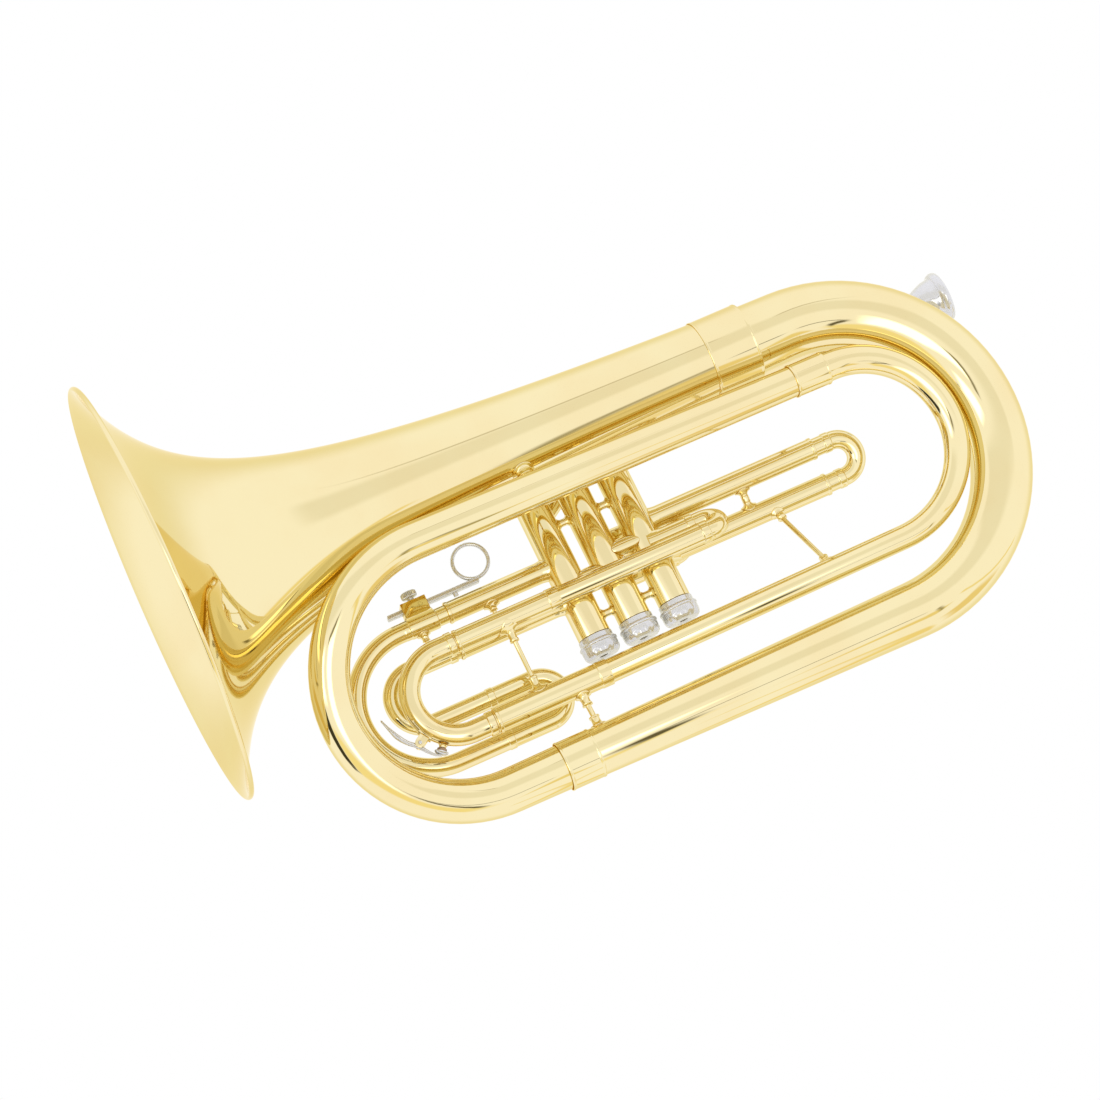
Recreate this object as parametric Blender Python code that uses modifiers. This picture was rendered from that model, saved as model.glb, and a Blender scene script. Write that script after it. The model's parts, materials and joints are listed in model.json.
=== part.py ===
"""Marching-style valved horn: a conical tube wound twice, three pistons and four pull slides.

Lengths in metres. X runs from the bell's rim to the player, Z up along the valves and Y to the player's right.
Sizes are written from the bell: x = 0 is its rim plane, y = z = 0 its axis. An empty then moves
the whole horn so that the world's origin is where the left hand holds the middle valve.
"""

import math

import bmesh
import bpy
from mathutils import Quaternion, Vector

MM = 0.001

# Clearances
SEAT_GAP = 0.3 * MM
RUNNING_GAP = 0.3 * MM

# Facets round each kind of piece
TUBE_SIDES = 10
VALVE_SIDES = 14

# Bell: radius = stem + flare * (1 + x / reach) ** -power
BELL_RIM_RADIUS = 139.9 * MM
BELL_STEM_RADIUS = 8.2 * MM
BELL_FLARE_REACH = 43.7 * MM
BELL_FLARE_POWER = 0.906
BELL_LENGTH = 397 * MM
BELL_WALL = 0.9 * MM
BELL_SIDES = 24
RIM_BEAD_RADIUS = 1.7 * MM
RIM_FACE_WIDTH = 2.6 * MM

# Main wrap
BOW_WALL = 0.8 * MM
BUTT_GAP = 0.6 * MM
BACK_BOW_REACH = 537.7 * MM
BACK_BOW_START_RADIUS = 23.4 * MM
BACK_BOW_END_RADIUS = 15.3 * MM
BOTTOM_Z = -201 * MM
BOTTOM_Y = 22 * MM
BOTTOM_JOINT_X = 199 * MM
FRONT_BOW_REACH = 68.2 * MM
FRONT_BOW_START_RADIUS = 14.8 * MM
FRONT_BOW_END_RADIUS = 10 * MM
FRONT_BOW_TOP_Y = -43 * MM
UPPER_Z = -44 * MM
UPPER_JOINT_X = 434 * MM
UPPER_JOINT_Y = -18 * MM
UPPER_JOINT_Z = -41.3 * MM
INNER_BOW_REACH = 509 * MM
INNER_BOW_BOTTOM_Y = 8 * MM
INNER_BOW_BOTTOM_Z = -157 * MM
INNER_BOW_START_RADIUS = 9.8 * MM
LOWER_STRAIGHT_RADIUS = 7.9 * MM
FERRULE_WALL = 0.9 * MM
BELL_FERRULE_LENGTH = 32 * MM
BOTTOM_FERRULE_LENGTH = 23 * MM
UPPER_FERRULE_LENGTH = 24 * MM

# Pull slides
SLIDE_WALL = 0.7 * MM
END_BAND_LENGTH = 2.6 * MM
END_BAND_HEIGHT = 0.7 * MM
CROOK_BAND_LENGTH = 4.5 * MM
CROOK_BAND_HEIGHT = 0.8 * MM
BAND_SLOPE = 0.6 * MM

MAIN_SLIDE_Y = 28.5 * MM
MAIN_SLIDE_TOP_Z = -97.6 * MM
MAIN_SLIDE_BOTTOM_Z = -155.3 * MM
MAIN_SLIDE_REACH = 118.8 * MM
MAIN_BOW_RADIUS = 7.1 * MM
MAIN_LEG_LENGTH = 62 * MM
UPPER_SLEEVE_RADIUS = 7 * MM
UPPER_SLEEVE_START_X = 161.5 * MM
UPPER_SLEEVE_END_X = 234 * MM
LOWER_SLEEVE_RADIUS = 8.4 * MM
LOWER_SLEEVE_START_X = 163 * MM
LOWER_SLEEVE_END_X = 242 * MM
SOCKET_DEPTH = 5 * MM

OUTLET_RADIUS = 6.5 * MM
OUTLET_REACH = 350.8 * MM
OUTLET_BACK_Y = 41.5 * MM
OUTLET_BACK_Z = -86.5 * MM

FIRST_SLEEVE_RADIUS = 7.1 * MM
FIRST_SLEEVE_END_X = 432.5 * MM
FIRST_UPPER_Y = 49 * MM
FIRST_UPPER_Z = -70.4 * MM
FIRST_LOWER_Y = 57 * MM
FIRST_LOWER_Z = -94.2 * MM
FIRST_PORT_BEND_X = 321 * MM
FIRST_SLIDE_REACH = 458 * MM
FIRST_LEG_LENGTH = 60 * MM

SECOND_SLEEVE_RADIUS = 6.8 * MM
SECOND_SLEEVE_END_X = 318 * MM
SECOND_Y = 71 * MM
SECOND_UPPER_Z = -67 * MM
SECOND_LOWER_Z = -94.4 * MM
SECOND_PORT_BEND = 10 * MM
SECOND_SLIDE_REACH = 336.5 * MM
SECOND_LEG_LENGTH = 22 * MM

THIRD_SLEEVE_RADIUS = 7 * MM
THIRD_UPPER_Z = -74 * MM
THIRD_LOWER_Z = -98.7 * MM
THIRD_UPPER_SLEEVE_END_X = 167.4 * MM
THIRD_LOWER_SLEEVE_END_X = 164 * MM
THIRD_LEG_START_X = 215 * MM
THIRD_OUTER_REACH = 87.8 * MM
THIRD_BOTTOM_Z = -165.6 * MM
THIRD_TURN_REACH = 213 * MM
THIRD_MIDDLE_Z = -136.4 * MM
THIRD_INNER_REACH = 111 * MM
THIRD_BOW_RADIUS = 6.3 * MM
THIRD_COLLAR_START_X = 141 * MM
THIRD_COLLAR_END_X = 160 * MM
THIRD_COLLAR_RADIUS = 6.9 * MM
THIRD_POST_X = 148 * MM
POST_WIRE_RADIUS = 1.5 * MM

# Valves, numbered from the player's end
VALVE_Y = 47 * MM
VALVE_PITCH = 28.5 * MM
MIDDLE_VALVE_X = 275.7 * MM
CASING_RADIUS = 11 * MM
CASING_WALL = 1.8 * MM
CASING_TOP_Z = -7 * MM
CASING_BOTTOM_Z = -137 * MM
THREAD_LENGTH = 6.3 * MM
BOTTOM_THREAD_LENGTH = 10 * MM
THREAD_DEPTH = 0.6 * MM
VALVE_STROKE = 16 * MM
PISTON_TOP_Z = -24 * MM
PISTON_BOTTOM_Z = -106 * MM
PISTON_WALL = 1.4 * MM
SPRING_POCKET_DEPTH = 16 * MM
STEM_RADIUS = 2.2 * MM
FELT_THICKNESS = 2 * MM
FELT_RADIUS = 6 * MM
BUTTON_RADIUS = 8.2 * MM
BUTTON_THICKNESS = 5.4 * MM
BUTTON_BOSS_HEIGHT = 3.6 * MM
BUTTON_BOSS_RADIUS = 3.8 * MM
CAP_RADIUS = 12.5 * MM
CAP_WALL = 1 * MM
CAP_BEAD_HEIGHT = 0.45 * MM
TOP_CAP_PLATE = 2.2 * MM
BOTTOM_CAP_FLOOR = 4 * MM
CAP_FLOOR_DROP = 1 * MM
VENT_RADIUS = 2.85 * MM
SPRING_RADIUS = 5.8 * MM
SPRING_WIRE_RADIUS = 0.7 * MM
SPRING_TURNS = 4
LINK_RADIUS = 2.6 * MM
LINK_HEIGHTS = (-49.6 * MM, -115.7 * MM)
KNUCKLE_RADIUS = 5.8 * MM
KNUCKLE_Y = 43 * MM
KNUCKLE_Z = {1: -81.5 * MM, 3: -90.6 * MM}

# Leadpipe and mouthpiece
LEADPIPE_RADIUS = 5.8 * MM
LEADPIPE_START_X = 493 * MM
LEADPIPE_START_Y = 63.6 * MM
LEADPIPE_START_Z = -9.3 * MM
LEADPIPE_BEND_X = 290 * MM
LEADPIPE_BEND_Y = 68 * MM
LEADPIPE_BEND_Z = -15 * MM
LEADPIPE_PORT_Z = -42 * MM
RECEIVER_LENGTH = 28 * MM
RECEIVER_RADIUS = 7.9 * MM
RECEIVER_OVERLAP = 7.5 * MM
SHANK_DEPTH = 19 * MM
SHANK_TIP_RADIUS = 5.5 * MM
SHANK_TAPER = 0.025
MOUTHPIECE_LENGTH = 69 * MM
CUP_RADIUS = 17.3 * MM
CUP_OPENING_RADIUS = 12.8 * MM
CUP_DEPTH = 23 * MM
THROAT_RADIUS = 3.1 * MM

# Ring for the finger that pulls the third slide
BLOCK_START_X = 141.5 * MM
BLOCK_LENGTH = 17.5 * MM
BLOCK_WIDTH = 10.4 * MM
BLOCK_TOP_Z = -57.6 * MM
BAR_START_X = 131.3 * MM
BAR_LENGTH = 65.5 * MM
BAR_WIDTH = 6 * MM
BAR_THICKNESS = 2 * MM
BAR_TOP_Z = -60.8 * MM
RING_OUTER_RADIUS = 12.7 * MM
RING_WIRE_RADIUS = 1.1 * MM
POST_X = 178 * MM
POST_RADIUS = 1.3 * MM
SCREW_RADIUS = 1.5 * MM
SCREW_HEAD_RADIUS = 5.3 * MM
SCREW_HEAD_HEIGHT = 4.2 * MM
SCREW_COLLAR_HEIGHT = 1.8 * MM

# Water key, placed by its angle round the main tuning slide's bow
KEY_PIVOT_ANGLE = math.radians(212.6)
KEY_PIVOT_HEIGHT = 5.3 * MM
KEY_HOLE_ANGLE = math.radians(233)
NIPPLE_HEIGHT = 2 * MM
NIPPLE_RADIUS = 2.4 * MM
CORK_RADIUS = 3.1 * MM
CORK_THICKNESS = 2.5 * MM
KEY_PIN_RADIUS = 0.9 * MM
KEY_HUB_RADIUS = 2.3 * MM
KEY_HUB_WIDTH = 4.6 * MM
KEY_EAR_THICKNESS = 1.4 * MM
KEY_ARM_RADIUS = 1.3 * MM
KEY_TIP_ANGLE = math.radians(178)
KEY_TIP_HEIGHT = 15 * MM

# Braces
FOOT_THICKNESS = 1 * MM
FIRST_BRACE_X = 378 * MM
FIRST_STAY_X = 392 * MM
FIRST_STAY_FOOT_X = 400.7 * MM
BELL_BRACE_X = 240 * MM
BOTTOM_STAY_X = 219.8 * MM
LEADPIPE_BRACE_X = 424 * MM

BRASS = ("lacquered_brass", (0.83, 0.60, 0.24), 0.14, 1.0)
SILVER = ("silver_plate", (0.82, 0.82, 0.83), 0.12, 1.0)
STEEL = ("spring_steel", (0.55, 0.55, 0.56), 0.3, 1.0)
FELT = ("felt", (0.75, 0.73, 0.68), 0.95, 0.0)
CORK = ("cork", (0.62, 0.42, 0.25), 0.9, 0.0)

VALVE_X = {
    1: MIDDLE_VALVE_X + VALVE_PITCH,
    2: MIDDLE_VALVE_X,
    3: MIDDLE_VALVE_X - VALVE_PITCH,
}
LEADPIPE_START = Vector((LEADPIPE_START_X, LEADPIPE_START_Y, LEADPIPE_START_Z))
LEADPIPE_BEND = Vector((LEADPIPE_BEND_X, LEADPIPE_BEND_Y, LEADPIPE_BEND_Z))
GRIP = Vector((MIDDLE_VALVE_X, VALVE_Y, -66 * MM))
X_AXIS = Vector((1, 0, 0))
Y_AXIS = Vector((0, 1, 0))
Z_AXIS = Vector((0, 0, 1))


# Scene, materials and objects


def clear_scene():
    for obj in list(bpy.data.objects):
        bpy.data.objects.remove(obj, do_unlink=True)


def new_collection(name):
    collection = bpy.data.collections.new(name)
    bpy.context.scene.collection.children.link(collection)
    return collection


def material(spec):
    name, colour, roughness, metallic = spec
    found = bpy.data.materials.get(name)
    if found:
        return found
    made = bpy.data.materials.new(name)
    made.use_nodes = True
    shader = made.node_tree.nodes["Principled BSDF"]
    shader.inputs["Base Color"].default_value = (*colour, 1)
    shader.inputs["Roughness"].default_value = roughness
    shader.inputs["Metallic"].default_value = metallic
    return made


def new_empty(name, place, parent=None):
    """An empty at a place given from the bell's rim."""
    empty = bpy.data.objects.new(name, None)
    empty.empty_display_size = 0.02
    parts.objects.link(empty)
    empty.parent = parent
    empty.location = Vector(place) - (empty_place[parent.name] if parent else Vector())
    empty_place[name] = Vector(place)
    return empty


def add_object(name, mesh, place, parent, look):
    """An object of the horn whose mesh is drawn around `place`, given from the bell's rim."""
    obj = bpy.data.objects.new(name, mesh)
    if look is None:
        cutters.objects.link(obj)
        obj.hide_render = True
        obj.display_type = "WIRE"
    else:
        parts.objects.link(obj)
        mesh.materials.clear()
        mesh.materials.append(material(look))
    obj.parent = parent
    obj.location = Vector(place) - empty_place[parent.name]
    return obj


def combine(target, tool, operation):
    modifier = target.modifiers.new(operation.lower(), "BOOLEAN")
    modifier.object = tool
    modifier.operation = operation
    modifier.solver = "EXACT"
    return target


# Shapes


def turned(name, profile, sides, place, axis, parent, look=None):
    """A profile of (radius, height) pairs, turned about `axis` through `place`.

    It runs down the outer side and, on a hollow piece, up the inner side to close on its start.
    """
    mesh = bpy.data.meshes.new(name)
    points = [(radius, 0, height) for radius, height in profile]
    edges = [(i, i + 1) for i in range(len(points) - 1)]
    if profile[0][0] > 0:
        edges.append((len(points) - 1, 0))
    mesh.from_pydata(points, edges, [])
    obj = add_object(name, mesh, place, parent, look)
    obj.rotation_mode = "QUATERNION"
    obj.rotation_quaternion = Vector(axis).to_track_quat("Z", "Y")
    screw = obj.modifiers.new("turn", "SCREW")
    screw.steps = sides
    screw.render_steps = sides
    screw.use_merge_vertices = True
    screw.merge_threshold = 0.00001
    screw.use_smooth_shade = True
    return obj


def rod(name, start, end, radius, sides, parent, look=None):
    """A round bar between two points."""
    start, end = Vector(start), Vector(end)
    length = (end - start).length
    profile = [(0, length), (radius, length), (radius, 0), (0, 0)]
    return turned(name, profile, sides, start, end - start, parent, look)


def box(name, low, high, parent, look=None):
    """A block between two corners."""
    low, high = Vector(low), Vector(high)
    centre = (low + high) / 2
    mesh = bpy.data.meshes.new(name)
    shape = bmesh.new()
    bmesh.ops.create_cube(shape, size=1)
    bmesh.ops.scale(shape, vec=high - low, verts=shape.verts)
    shape.to_mesh(mesh)
    shape.free()
    return add_object(name, mesh, centre, parent, look)


def bend_reach(before, corner, after, radius):
    """How far from a corner an arc of this radius starts."""
    turn = math.pi - (before - corner).angle(after - corner)
    return radius * math.tan(turn / 2)


def bow_radius(before, first, second, after):
    """The radius with which two bends fill the whole leg between them."""
    shares = bend_reach(before, first, second, 1) + bend_reach(first, second, after, 1)
    return (second - first).length / shares


class Pipe:
    """A bent tube's centre line, with its outer radius at distances along it."""

    def __init__(self, corners, bends=(), steps=3):
        self.corners = [Vector(corner) for corner in corners]
        self.points = [self.corners[0]]
        triples = zip(self.corners, self.corners[1:], self.corners[2:], bends)
        for before, corner, after, radius in triples:
            self._bend(before, corner, after, radius, steps)
        for corner in self.corners[1 + len(bends) :]:
            self._add(corner)
        self._measure()
        self.stops = [(0, 0), (self.length, 0)]

    def _add(self, point):
        if (point - self.points[-1]).length > 0.5 * MM:
            self.points.append(point)

    def _bend(self, before, corner, after, radius, steps):
        back = (before - corner).normalized()
        on = (after - corner).normalized()
        turn = math.pi - back.angle(on)
        centre = corner + (back + on).normalized() * radius / math.cos(turn / 2)
        arm = corner + back * bend_reach(before, corner, after, radius) - centre
        count = max(2, round(steps * turn / (math.pi / 2)))
        for i in range(count + 1):
            spin = Quaternion(on.cross(back), turn * i / count)
            self._add(centre + spin @ arm)

    def _measure(self):
        self.along = [0.0]
        for start, end in zip(self.points, self.points[1:]):
            self.along.append(self.along[-1] + (end - start).length)
        self.length = self.along[-1]

    def taper(self, *stops):
        """Sets (distance, outer radius) stops, with a point of the line at each."""
        self.stops = sorted(stops)
        for distance, _ in self.stops:
            nearest = min(abs(distance - there) for there in self.along)
            if nearest > 0.05 * MM and 0 < distance < self.length:
                index = next(i for i, there in enumerate(self.along) if there > distance)
                self.points.insert(index, self.at(distance))
                self._measure()
        return self

    def at(self, distance):
        for i, there in enumerate(self.along[1:]):
            if distance <= there + 1e-9:
                share = (distance - self.along[i]) / (there - self.along[i])
                return self.points[i].lerp(self.points[i + 1], share)
        return self.points[-1]

    def radius(self, distance):
        for (near, thick), (far, thin) in zip(self.stops, self.stops[1:]):
            if distance <= far + 1e-9:
                return thick + (thin - thick) * max(0, distance - near) / (far - near)
        return self.stops[-1][1]

    def on_leg(self, leg, x):
        """(centre, direction, outer radius) where a straight leg passes this x."""
        start, end = self.corners[leg], self.corners[leg + 1]
        place = start.lerp(end, (x - start.x) / (end.x - start.x))
        gaps = [(place - point).length for point in self.points]
        nearest = self.along[gaps.index(min(gaps))]
        beside = self.at(min(nearest + MM, self.length)) - self.at(nearest)
        offset = (place - self.at(nearest)).dot(beside.normalized())
        return place, (end - start).normalized(), self.radius(nearest + offset)


def hole_for(radius, sides, gap=SEAT_GAP):
    """The corner radius of a faceted hole whose flats clear a round piece."""
    return (radius + gap) / math.cos(math.pi / sides)


def leg_for(sleeve_radius):
    """The radius of a tube that runs in a faceted sleeve, however each is turned."""
    return sleeve_radius * math.cos(math.pi / TUBE_SIDES) - SLIDE_WALL - RUNNING_GAP


def tube(name, pipe, wall, sides, parent, look=None, extra=0.0):
    """A hollow tube along a pipe or, with no wall, a solid one."""
    curve = bpy.data.curves.new(name, "CURVE")
    curve.dimensions = "3D"
    curve.fill_mode = "FULL"
    curve.bevel_depth = 1
    curve.bevel_resolution = (sides - 4) // 2
    curve.use_fill_caps = wall == 0
    spline = curve.splines.new("POLY")
    spline.points.add(len(pipe.points) - 1)
    origin = empty_place[parent.name]
    for knot, point, distance in zip(spline.points, pipe.points, pipe.along):
        knot.co = (*(point - origin), 1)
        knot.radius = pipe.radius(distance) + extra
    guide = bpy.data.objects.new(name + "_line", curve)
    cutters.objects.link(guide)
    bpy.context.view_layer.update()
    graph = bpy.context.evaluated_depsgraph_get()
    mesh = bpy.data.meshes.new_from_object(guide.evaluated_get(graph))
    bpy.data.objects.remove(guide)
    if wall == 0:
        shape = bmesh.new()
        shape.from_mesh(mesh)
        bmesh.ops.remove_doubles(shape, verts=shape.verts, dist=1e-6)
        shape.to_mesh(mesh)
        shape.free()
    mesh.shade_smooth()
    obj = add_object(name, mesh, origin, parent, look)
    if wall:
        shell = obj.modifiers.new("wall", "SOLIDIFY")
        shell.thickness = wall
        shell.offset = -1
        shell.use_even_offset = True
    return obj


def ferrule(name, start, end, tube_radius, sides, parent):
    """A plain ring over a joint, with a raised band at each end."""
    length = (end - start).length
    inner_radius = hole_for(tube_radius, sides)
    outer = inner_radius + FERRULE_WALL
    band = outer + END_BAND_HEIGHT
    profile = [
        (band, length),
        (band, length - END_BAND_LENGTH),
        (outer, length - END_BAND_LENGTH - BAND_SLOPE),
        (outer, END_BAND_LENGTH + BAND_SLOPE),
        (band, END_BAND_LENGTH),
        (band, 0),
        (inner_radius, 0),
        (inner_radius, length),
    ]
    return turned(name, profile, sides, start, end - start, parent, BRASS)


def trim_to_casing(obj, valve, parent):
    """Shapes a tube's end to the outside of a valve's casing."""
    x = VALVE_X[valve]
    top, bottom = (x, VALVE_Y, CASING_TOP_Z), (x, VALVE_Y, CASING_BOTTOM_Z)
    name = f"{obj.name}_casing"
    cutter = rod(name, bottom, top, CASING_RADIUS + SEAT_GAP, VALVE_SIDES, parent)
    return combine(obj, cutter, "DIFFERENCE")


def brace(name, first, second, rod_radius, foot_radius, parent, bead=0.0):
    """A turned post between two tubes, each (centre, direction, radius), with a foot wrapping each."""
    line = (second[0] - first[0]).normalized()
    length = (second[0] - first[0]).length
    low = first[2] + SEAT_GAP
    high = length - second[2] - SEAT_GAP
    collar = min(3 * MM, (high - low) / (8 if bead else 4))
    thick = rod_radius * 1.7
    middle = (low + high) / 2
    profile = [(0, length), (thick, length), (thick, high - collar)]
    profile.append((rod_radius, high - collar - MM / 2))
    if bead:
        profile.append((rod_radius, middle + bead))
        profile.append((bead, middle + bead * 0.4))
        profile.append((bead, middle - bead * 0.4))
        profile.append((rod_radius, middle - bead))
    profile.append((rod_radius, low + collar + MM / 2))
    profile += [(thick, low + collar), (thick, 0), (0, 0)]
    obj = turned(name, profile, 8, first[0], line, parent, BRASS)
    tubes = []
    for label, (centre, direction, radius), inward in (("a", first, 1), ("b", second, -1)):
        reach = radius + SEAT_GAP * 2 + FOOT_THICKNESS
        coin_end = centre + line * inward * (reach + MM)
        coin = rod(f"{name}_coin_{label}", centre, coin_end, foot_radius, 8, parent)
        away = direction * foot_radius * 2
        sides = 12 if radius < 2 * foot_radius else 40
        jacket = rod(f"{name}_jacket_{label}", centre - away, centre + away, reach, sides, parent)
        combine(coin, jacket, "INTERSECT")
        combine(obj, coin, "UNION")
        inside = hole_for(radius, sides)
        tubes.append(rod(f"{name}_tube_{label}", centre - away, centre + away, inside, sides, parent))
    for cutter in tubes:
        combine(obj, cutter, "DIFFERENCE")
    return obj


# Bell and main wrap


def bell_radius(x):
    flare = BELL_RIM_RADIUS - BELL_STEM_RADIUS
    return BELL_STEM_RADIUS + flare * (1 + x / BELL_FLARE_REACH) ** -BELL_FLARE_POWER


def bell_inside(x):
    """The inner skin's (radius, x) opposite the outer skin's point at x."""
    slope = (bell_radius(x + MM / 10) - bell_radius(x)) / (MM / 10)
    lean = math.hypot(1, slope)
    return bell_radius(x) - BELL_WALL / lean, x + BELL_WALL * slope / lean


def make_bell(body):
    first_x = 2 * MM
    stations = 9
    span = BELL_LENGTH - first_x
    places = [first_x + span * (i / stations) ** 1.9 for i in range(stations + 1)]
    outer = [(bell_radius(x), x) for x in reversed(places)]
    rim = BELL_RIM_RADIUS
    bead = RIM_BEAD_RADIUS
    turned_rim = [
        (rim - 2.6 * bead + bead, 1.9 * bead),
        (rim - 0.4 * bead, 2 * bead),
        (rim + 0.3 * bead, 1.4 * bead),
        (rim + 0.3 * bead, 0.6 * bead),
        (rim - 0.3 * bead, 0),
        (rim - 0.3 * bead - RIM_FACE_WIDTH, 0),
    ]
    inner = [bell_inside(x) for x in places[:-1]]
    inner.append((bell_radius(BELL_LENGTH) - BELL_WALL, BELL_LENGTH))
    turned("bell", outer + turned_rim + inner, BELL_SIDES, (0, 0, 0), X_AXIS, body, BRASS)


def make_wrap_lines():
    """The centre lines of the three conical bows."""
    back = [
        Vector((BELL_LENGTH + BUTT_GAP, 0, 0)),
        Vector((BACK_BOW_REACH, 0, 0)),
        Vector((BACK_BOW_REACH, BOTTOM_Y, BOTTOM_Z)),
        Vector((BOTTOM_JOINT_X + BUTT_GAP, BOTTOM_Y, BOTTOM_Z)),
    ]
    front = [
        Vector((BOTTOM_JOINT_X, BOTTOM_Y, BOTTOM_Z)),
        Vector((FRONT_BOW_REACH, BOTTOM_Y, BOTTOM_Z)),
        Vector((FRONT_BOW_REACH, FRONT_BOW_TOP_Y, UPPER_Z)),
        Vector((UPPER_JOINT_X, UPPER_JOINT_Y, UPPER_JOINT_Z)),
    ]
    run = (front[3] - front[2]).normalized()
    inner_corner = front[3] + run * (INNER_BOW_REACH - UPPER_JOINT_X) / run.x
    inner = [
        front[3] + run * BUTT_GAP,
        inner_corner,
        Vector((INNER_BOW_REACH, INNER_BOW_BOTTOM_Y, INNER_BOW_BOTTOM_Z)),
        Vector((LOWER_SLEEVE_END_X - SOCKET_DEPTH, MAIN_SLIDE_Y, MAIN_SLIDE_BOTTOM_Z)),
    ]
    pipes = {}
    for name, corners in (("back", back), ("front", front), ("inner", inner)):
        bend = bow_radius(*corners)
        pipes[name] = Pipe(corners, (bend, bend), steps=5 if name == "back" else 4)
    length = pipes["back"].length
    pipes["back"].taper((0, BACK_BOW_START_RADIUS), (length, BACK_BOW_END_RADIUS))
    length = pipes["front"].length
    pipes["front"].taper((0, FRONT_BOW_START_RADIUS), (length, FRONT_BOW_END_RADIUS))
    length = pipes["inner"].length
    bow_end = length - (inner[3] - inner[2]).length + bow_radius(*inner)
    pipes["inner"].taper(
        (0, INNER_BOW_START_RADIUS), (bow_end, LOWER_STRAIGHT_RADIUS), (length, LOWER_STRAIGHT_RADIUS)
    )
    return pipes


def make_wrap(body, pipes):
    tube("back_bow", pipes["back"], BOW_WALL, 14, body, BRASS)
    tube("front_bow", pipes["front"], BOW_WALL, 12, body, BRASS)
    tube("inner_bow", pipes["inner"], BOW_WALL, TUBE_SIDES, body, BRASS)
    half = X_AXIS * BELL_FERRULE_LENGTH / 2
    joint = X_AXIS * BELL_LENGTH
    widest = bell_radius(BELL_LENGTH - BELL_FERRULE_LENGTH / 2)
    ferrule("bell_ferrule", joint - half, joint + half, widest, 16, body)
    half = X_AXIS * BOTTOM_FERRULE_LENGTH / 2
    joint = pipes["front"].corners[0]
    widest = max(pipes["back"].on_leg(2, joint.x + half.x)[2], FRONT_BOW_START_RADIUS)
    ferrule("bottom_ferrule", joint - half, joint + half, widest, 14, body)
    corners = pipes["front"].corners
    half = (corners[3] - corners[2]).normalized() * UPPER_FERRULE_LENGTH / 2
    joint = corners[3]
    widest = pipes["front"].on_leg(2, joint.x - half.x)[2]
    ferrule("upper_ferrule", joint - half, joint + half, widest, 12, body)


# Pull slides


def sleeve_pipe(corners, bends, radius):
    """A slide's outer tube, with a raised band at its open end."""
    pipe = Pipe(corners, bends)
    length = pipe.length
    band = radius + END_BAND_HEIGHT
    stops = [(0, radius), (length - END_BAND_LENGTH - BAND_SLOPE, radius)]
    stops += [(length - END_BAND_LENGTH, band), (length, band)]
    return pipe.taper(*stops)


def crook_pipe(corners, bends, legs, bow, steps=3):
    """A slide's moving tube: a leg at each end as (length, radius), then a band, then the bow between."""
    pipe = Pipe(corners, bends, steps)
    stops = []
    for side, (length, radius) in enumerate(legs):
        band = max(radius, bow) + CROOK_BAND_HEIGHT
        rises = [
            (0, radius),
            (length, radius),
            (length + BAND_SLOPE, band),
            (length + BAND_SLOPE + CROOK_BAND_LENGTH, band),
            (length + 2 * BAND_SLOPE + CROOK_BAND_LENGTH, bow),
        ]
        stops += [(pipe.length - there if side else there, size) for there, size in rises]
    return pipe.taper(*stops)


def straight_sleeve(name, start, end, radius, pipe_radius, parent):
    """A turned outer tube whose far end is a socket over the pipe that it joins."""
    length = (end - start).length
    bore = radius - SLIDE_WALL
    band = radius + END_BAND_HEIGHT
    socket = hole_for(pipe_radius, TUBE_SIDES)
    jacket = max(socket + SLIDE_WALL, band)
    depth = SOCKET_DEPTH + END_BAND_LENGTH
    profile = [
        (jacket, length),
        (jacket, length - depth),
        (radius, length - depth - BAND_SLOPE),
        (radius, END_BAND_LENGTH + BAND_SLOPE),
        (band, END_BAND_LENGTH),
        (band, 0),
        (bore, 0),
        (bore, length - depth),
        (socket, length - depth),
        (socket, length),
    ]
    return turned(name, profile, TUBE_SIDES, start, end - start, parent, BRASS)


def make_main_slide(body, slide):
    upper_start = Vector((UPPER_SLEEVE_START_X, MAIN_SLIDE_Y, MAIN_SLIDE_TOP_Z))
    upper_end = Vector((UPPER_SLEEVE_END_X, MAIN_SLIDE_Y, MAIN_SLIDE_TOP_Z))
    lower_start = Vector((LOWER_SLEEVE_START_X, MAIN_SLIDE_Y, MAIN_SLIDE_BOTTOM_Z))
    lower_end = Vector((LOWER_SLEEVE_END_X, MAIN_SLIDE_Y, MAIN_SLIDE_BOTTOM_Z))
    upper_radius, lower_radius = UPPER_SLEEVE_RADIUS, LOWER_SLEEVE_RADIUS
    straight_sleeve("upper_slide_sleeve", upper_start, upper_end, upper_radius, OUTLET_RADIUS, body)
    straight_sleeve(
        "lower_slide_sleeve", lower_start, lower_end, lower_radius, LOWER_STRAIGHT_RADIUS, body
    )
    legs = (
        (MAIN_LEG_LENGTH + MM, leg_for(upper_radius)),
        (MAIN_LEG_LENGTH + MM, leg_for(lower_radius)),
    )
    corners = [
        upper_start + X_AXIS * MAIN_LEG_LENGTH,
        Vector((MAIN_SLIDE_REACH, MAIN_SLIDE_Y, MAIN_SLIDE_TOP_Z)),
        Vector((MAIN_SLIDE_REACH, MAIN_SLIDE_Y, MAIN_SLIDE_BOTTOM_Z)),
        lower_start + X_AXIS * MAIN_LEG_LENGTH,
    ]
    bend = bow_radius(*corners)
    pipe = crook_pipe(corners, (bend, bend), legs, MAIN_BOW_RADIUS, steps=4)
    tube("main_tuning_slide", pipe, SLIDE_WALL, TUBE_SIDES, slide, BRASS)
    upper = (Vector((196 * MM, MAIN_SLIDE_Y, MAIN_SLIDE_TOP_Z)), X_AXIS, UPPER_SLEEVE_RADIUS)
    lower = (Vector((196 * MM, MAIN_SLIDE_Y, MAIN_SLIDE_BOTTOM_Z)), X_AXIS, LOWER_SLEEVE_RADIUS)
    brace("main_slide_brace", upper, lower, 1.6 * MM, 7 * MM, body)
    return pipe


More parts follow.
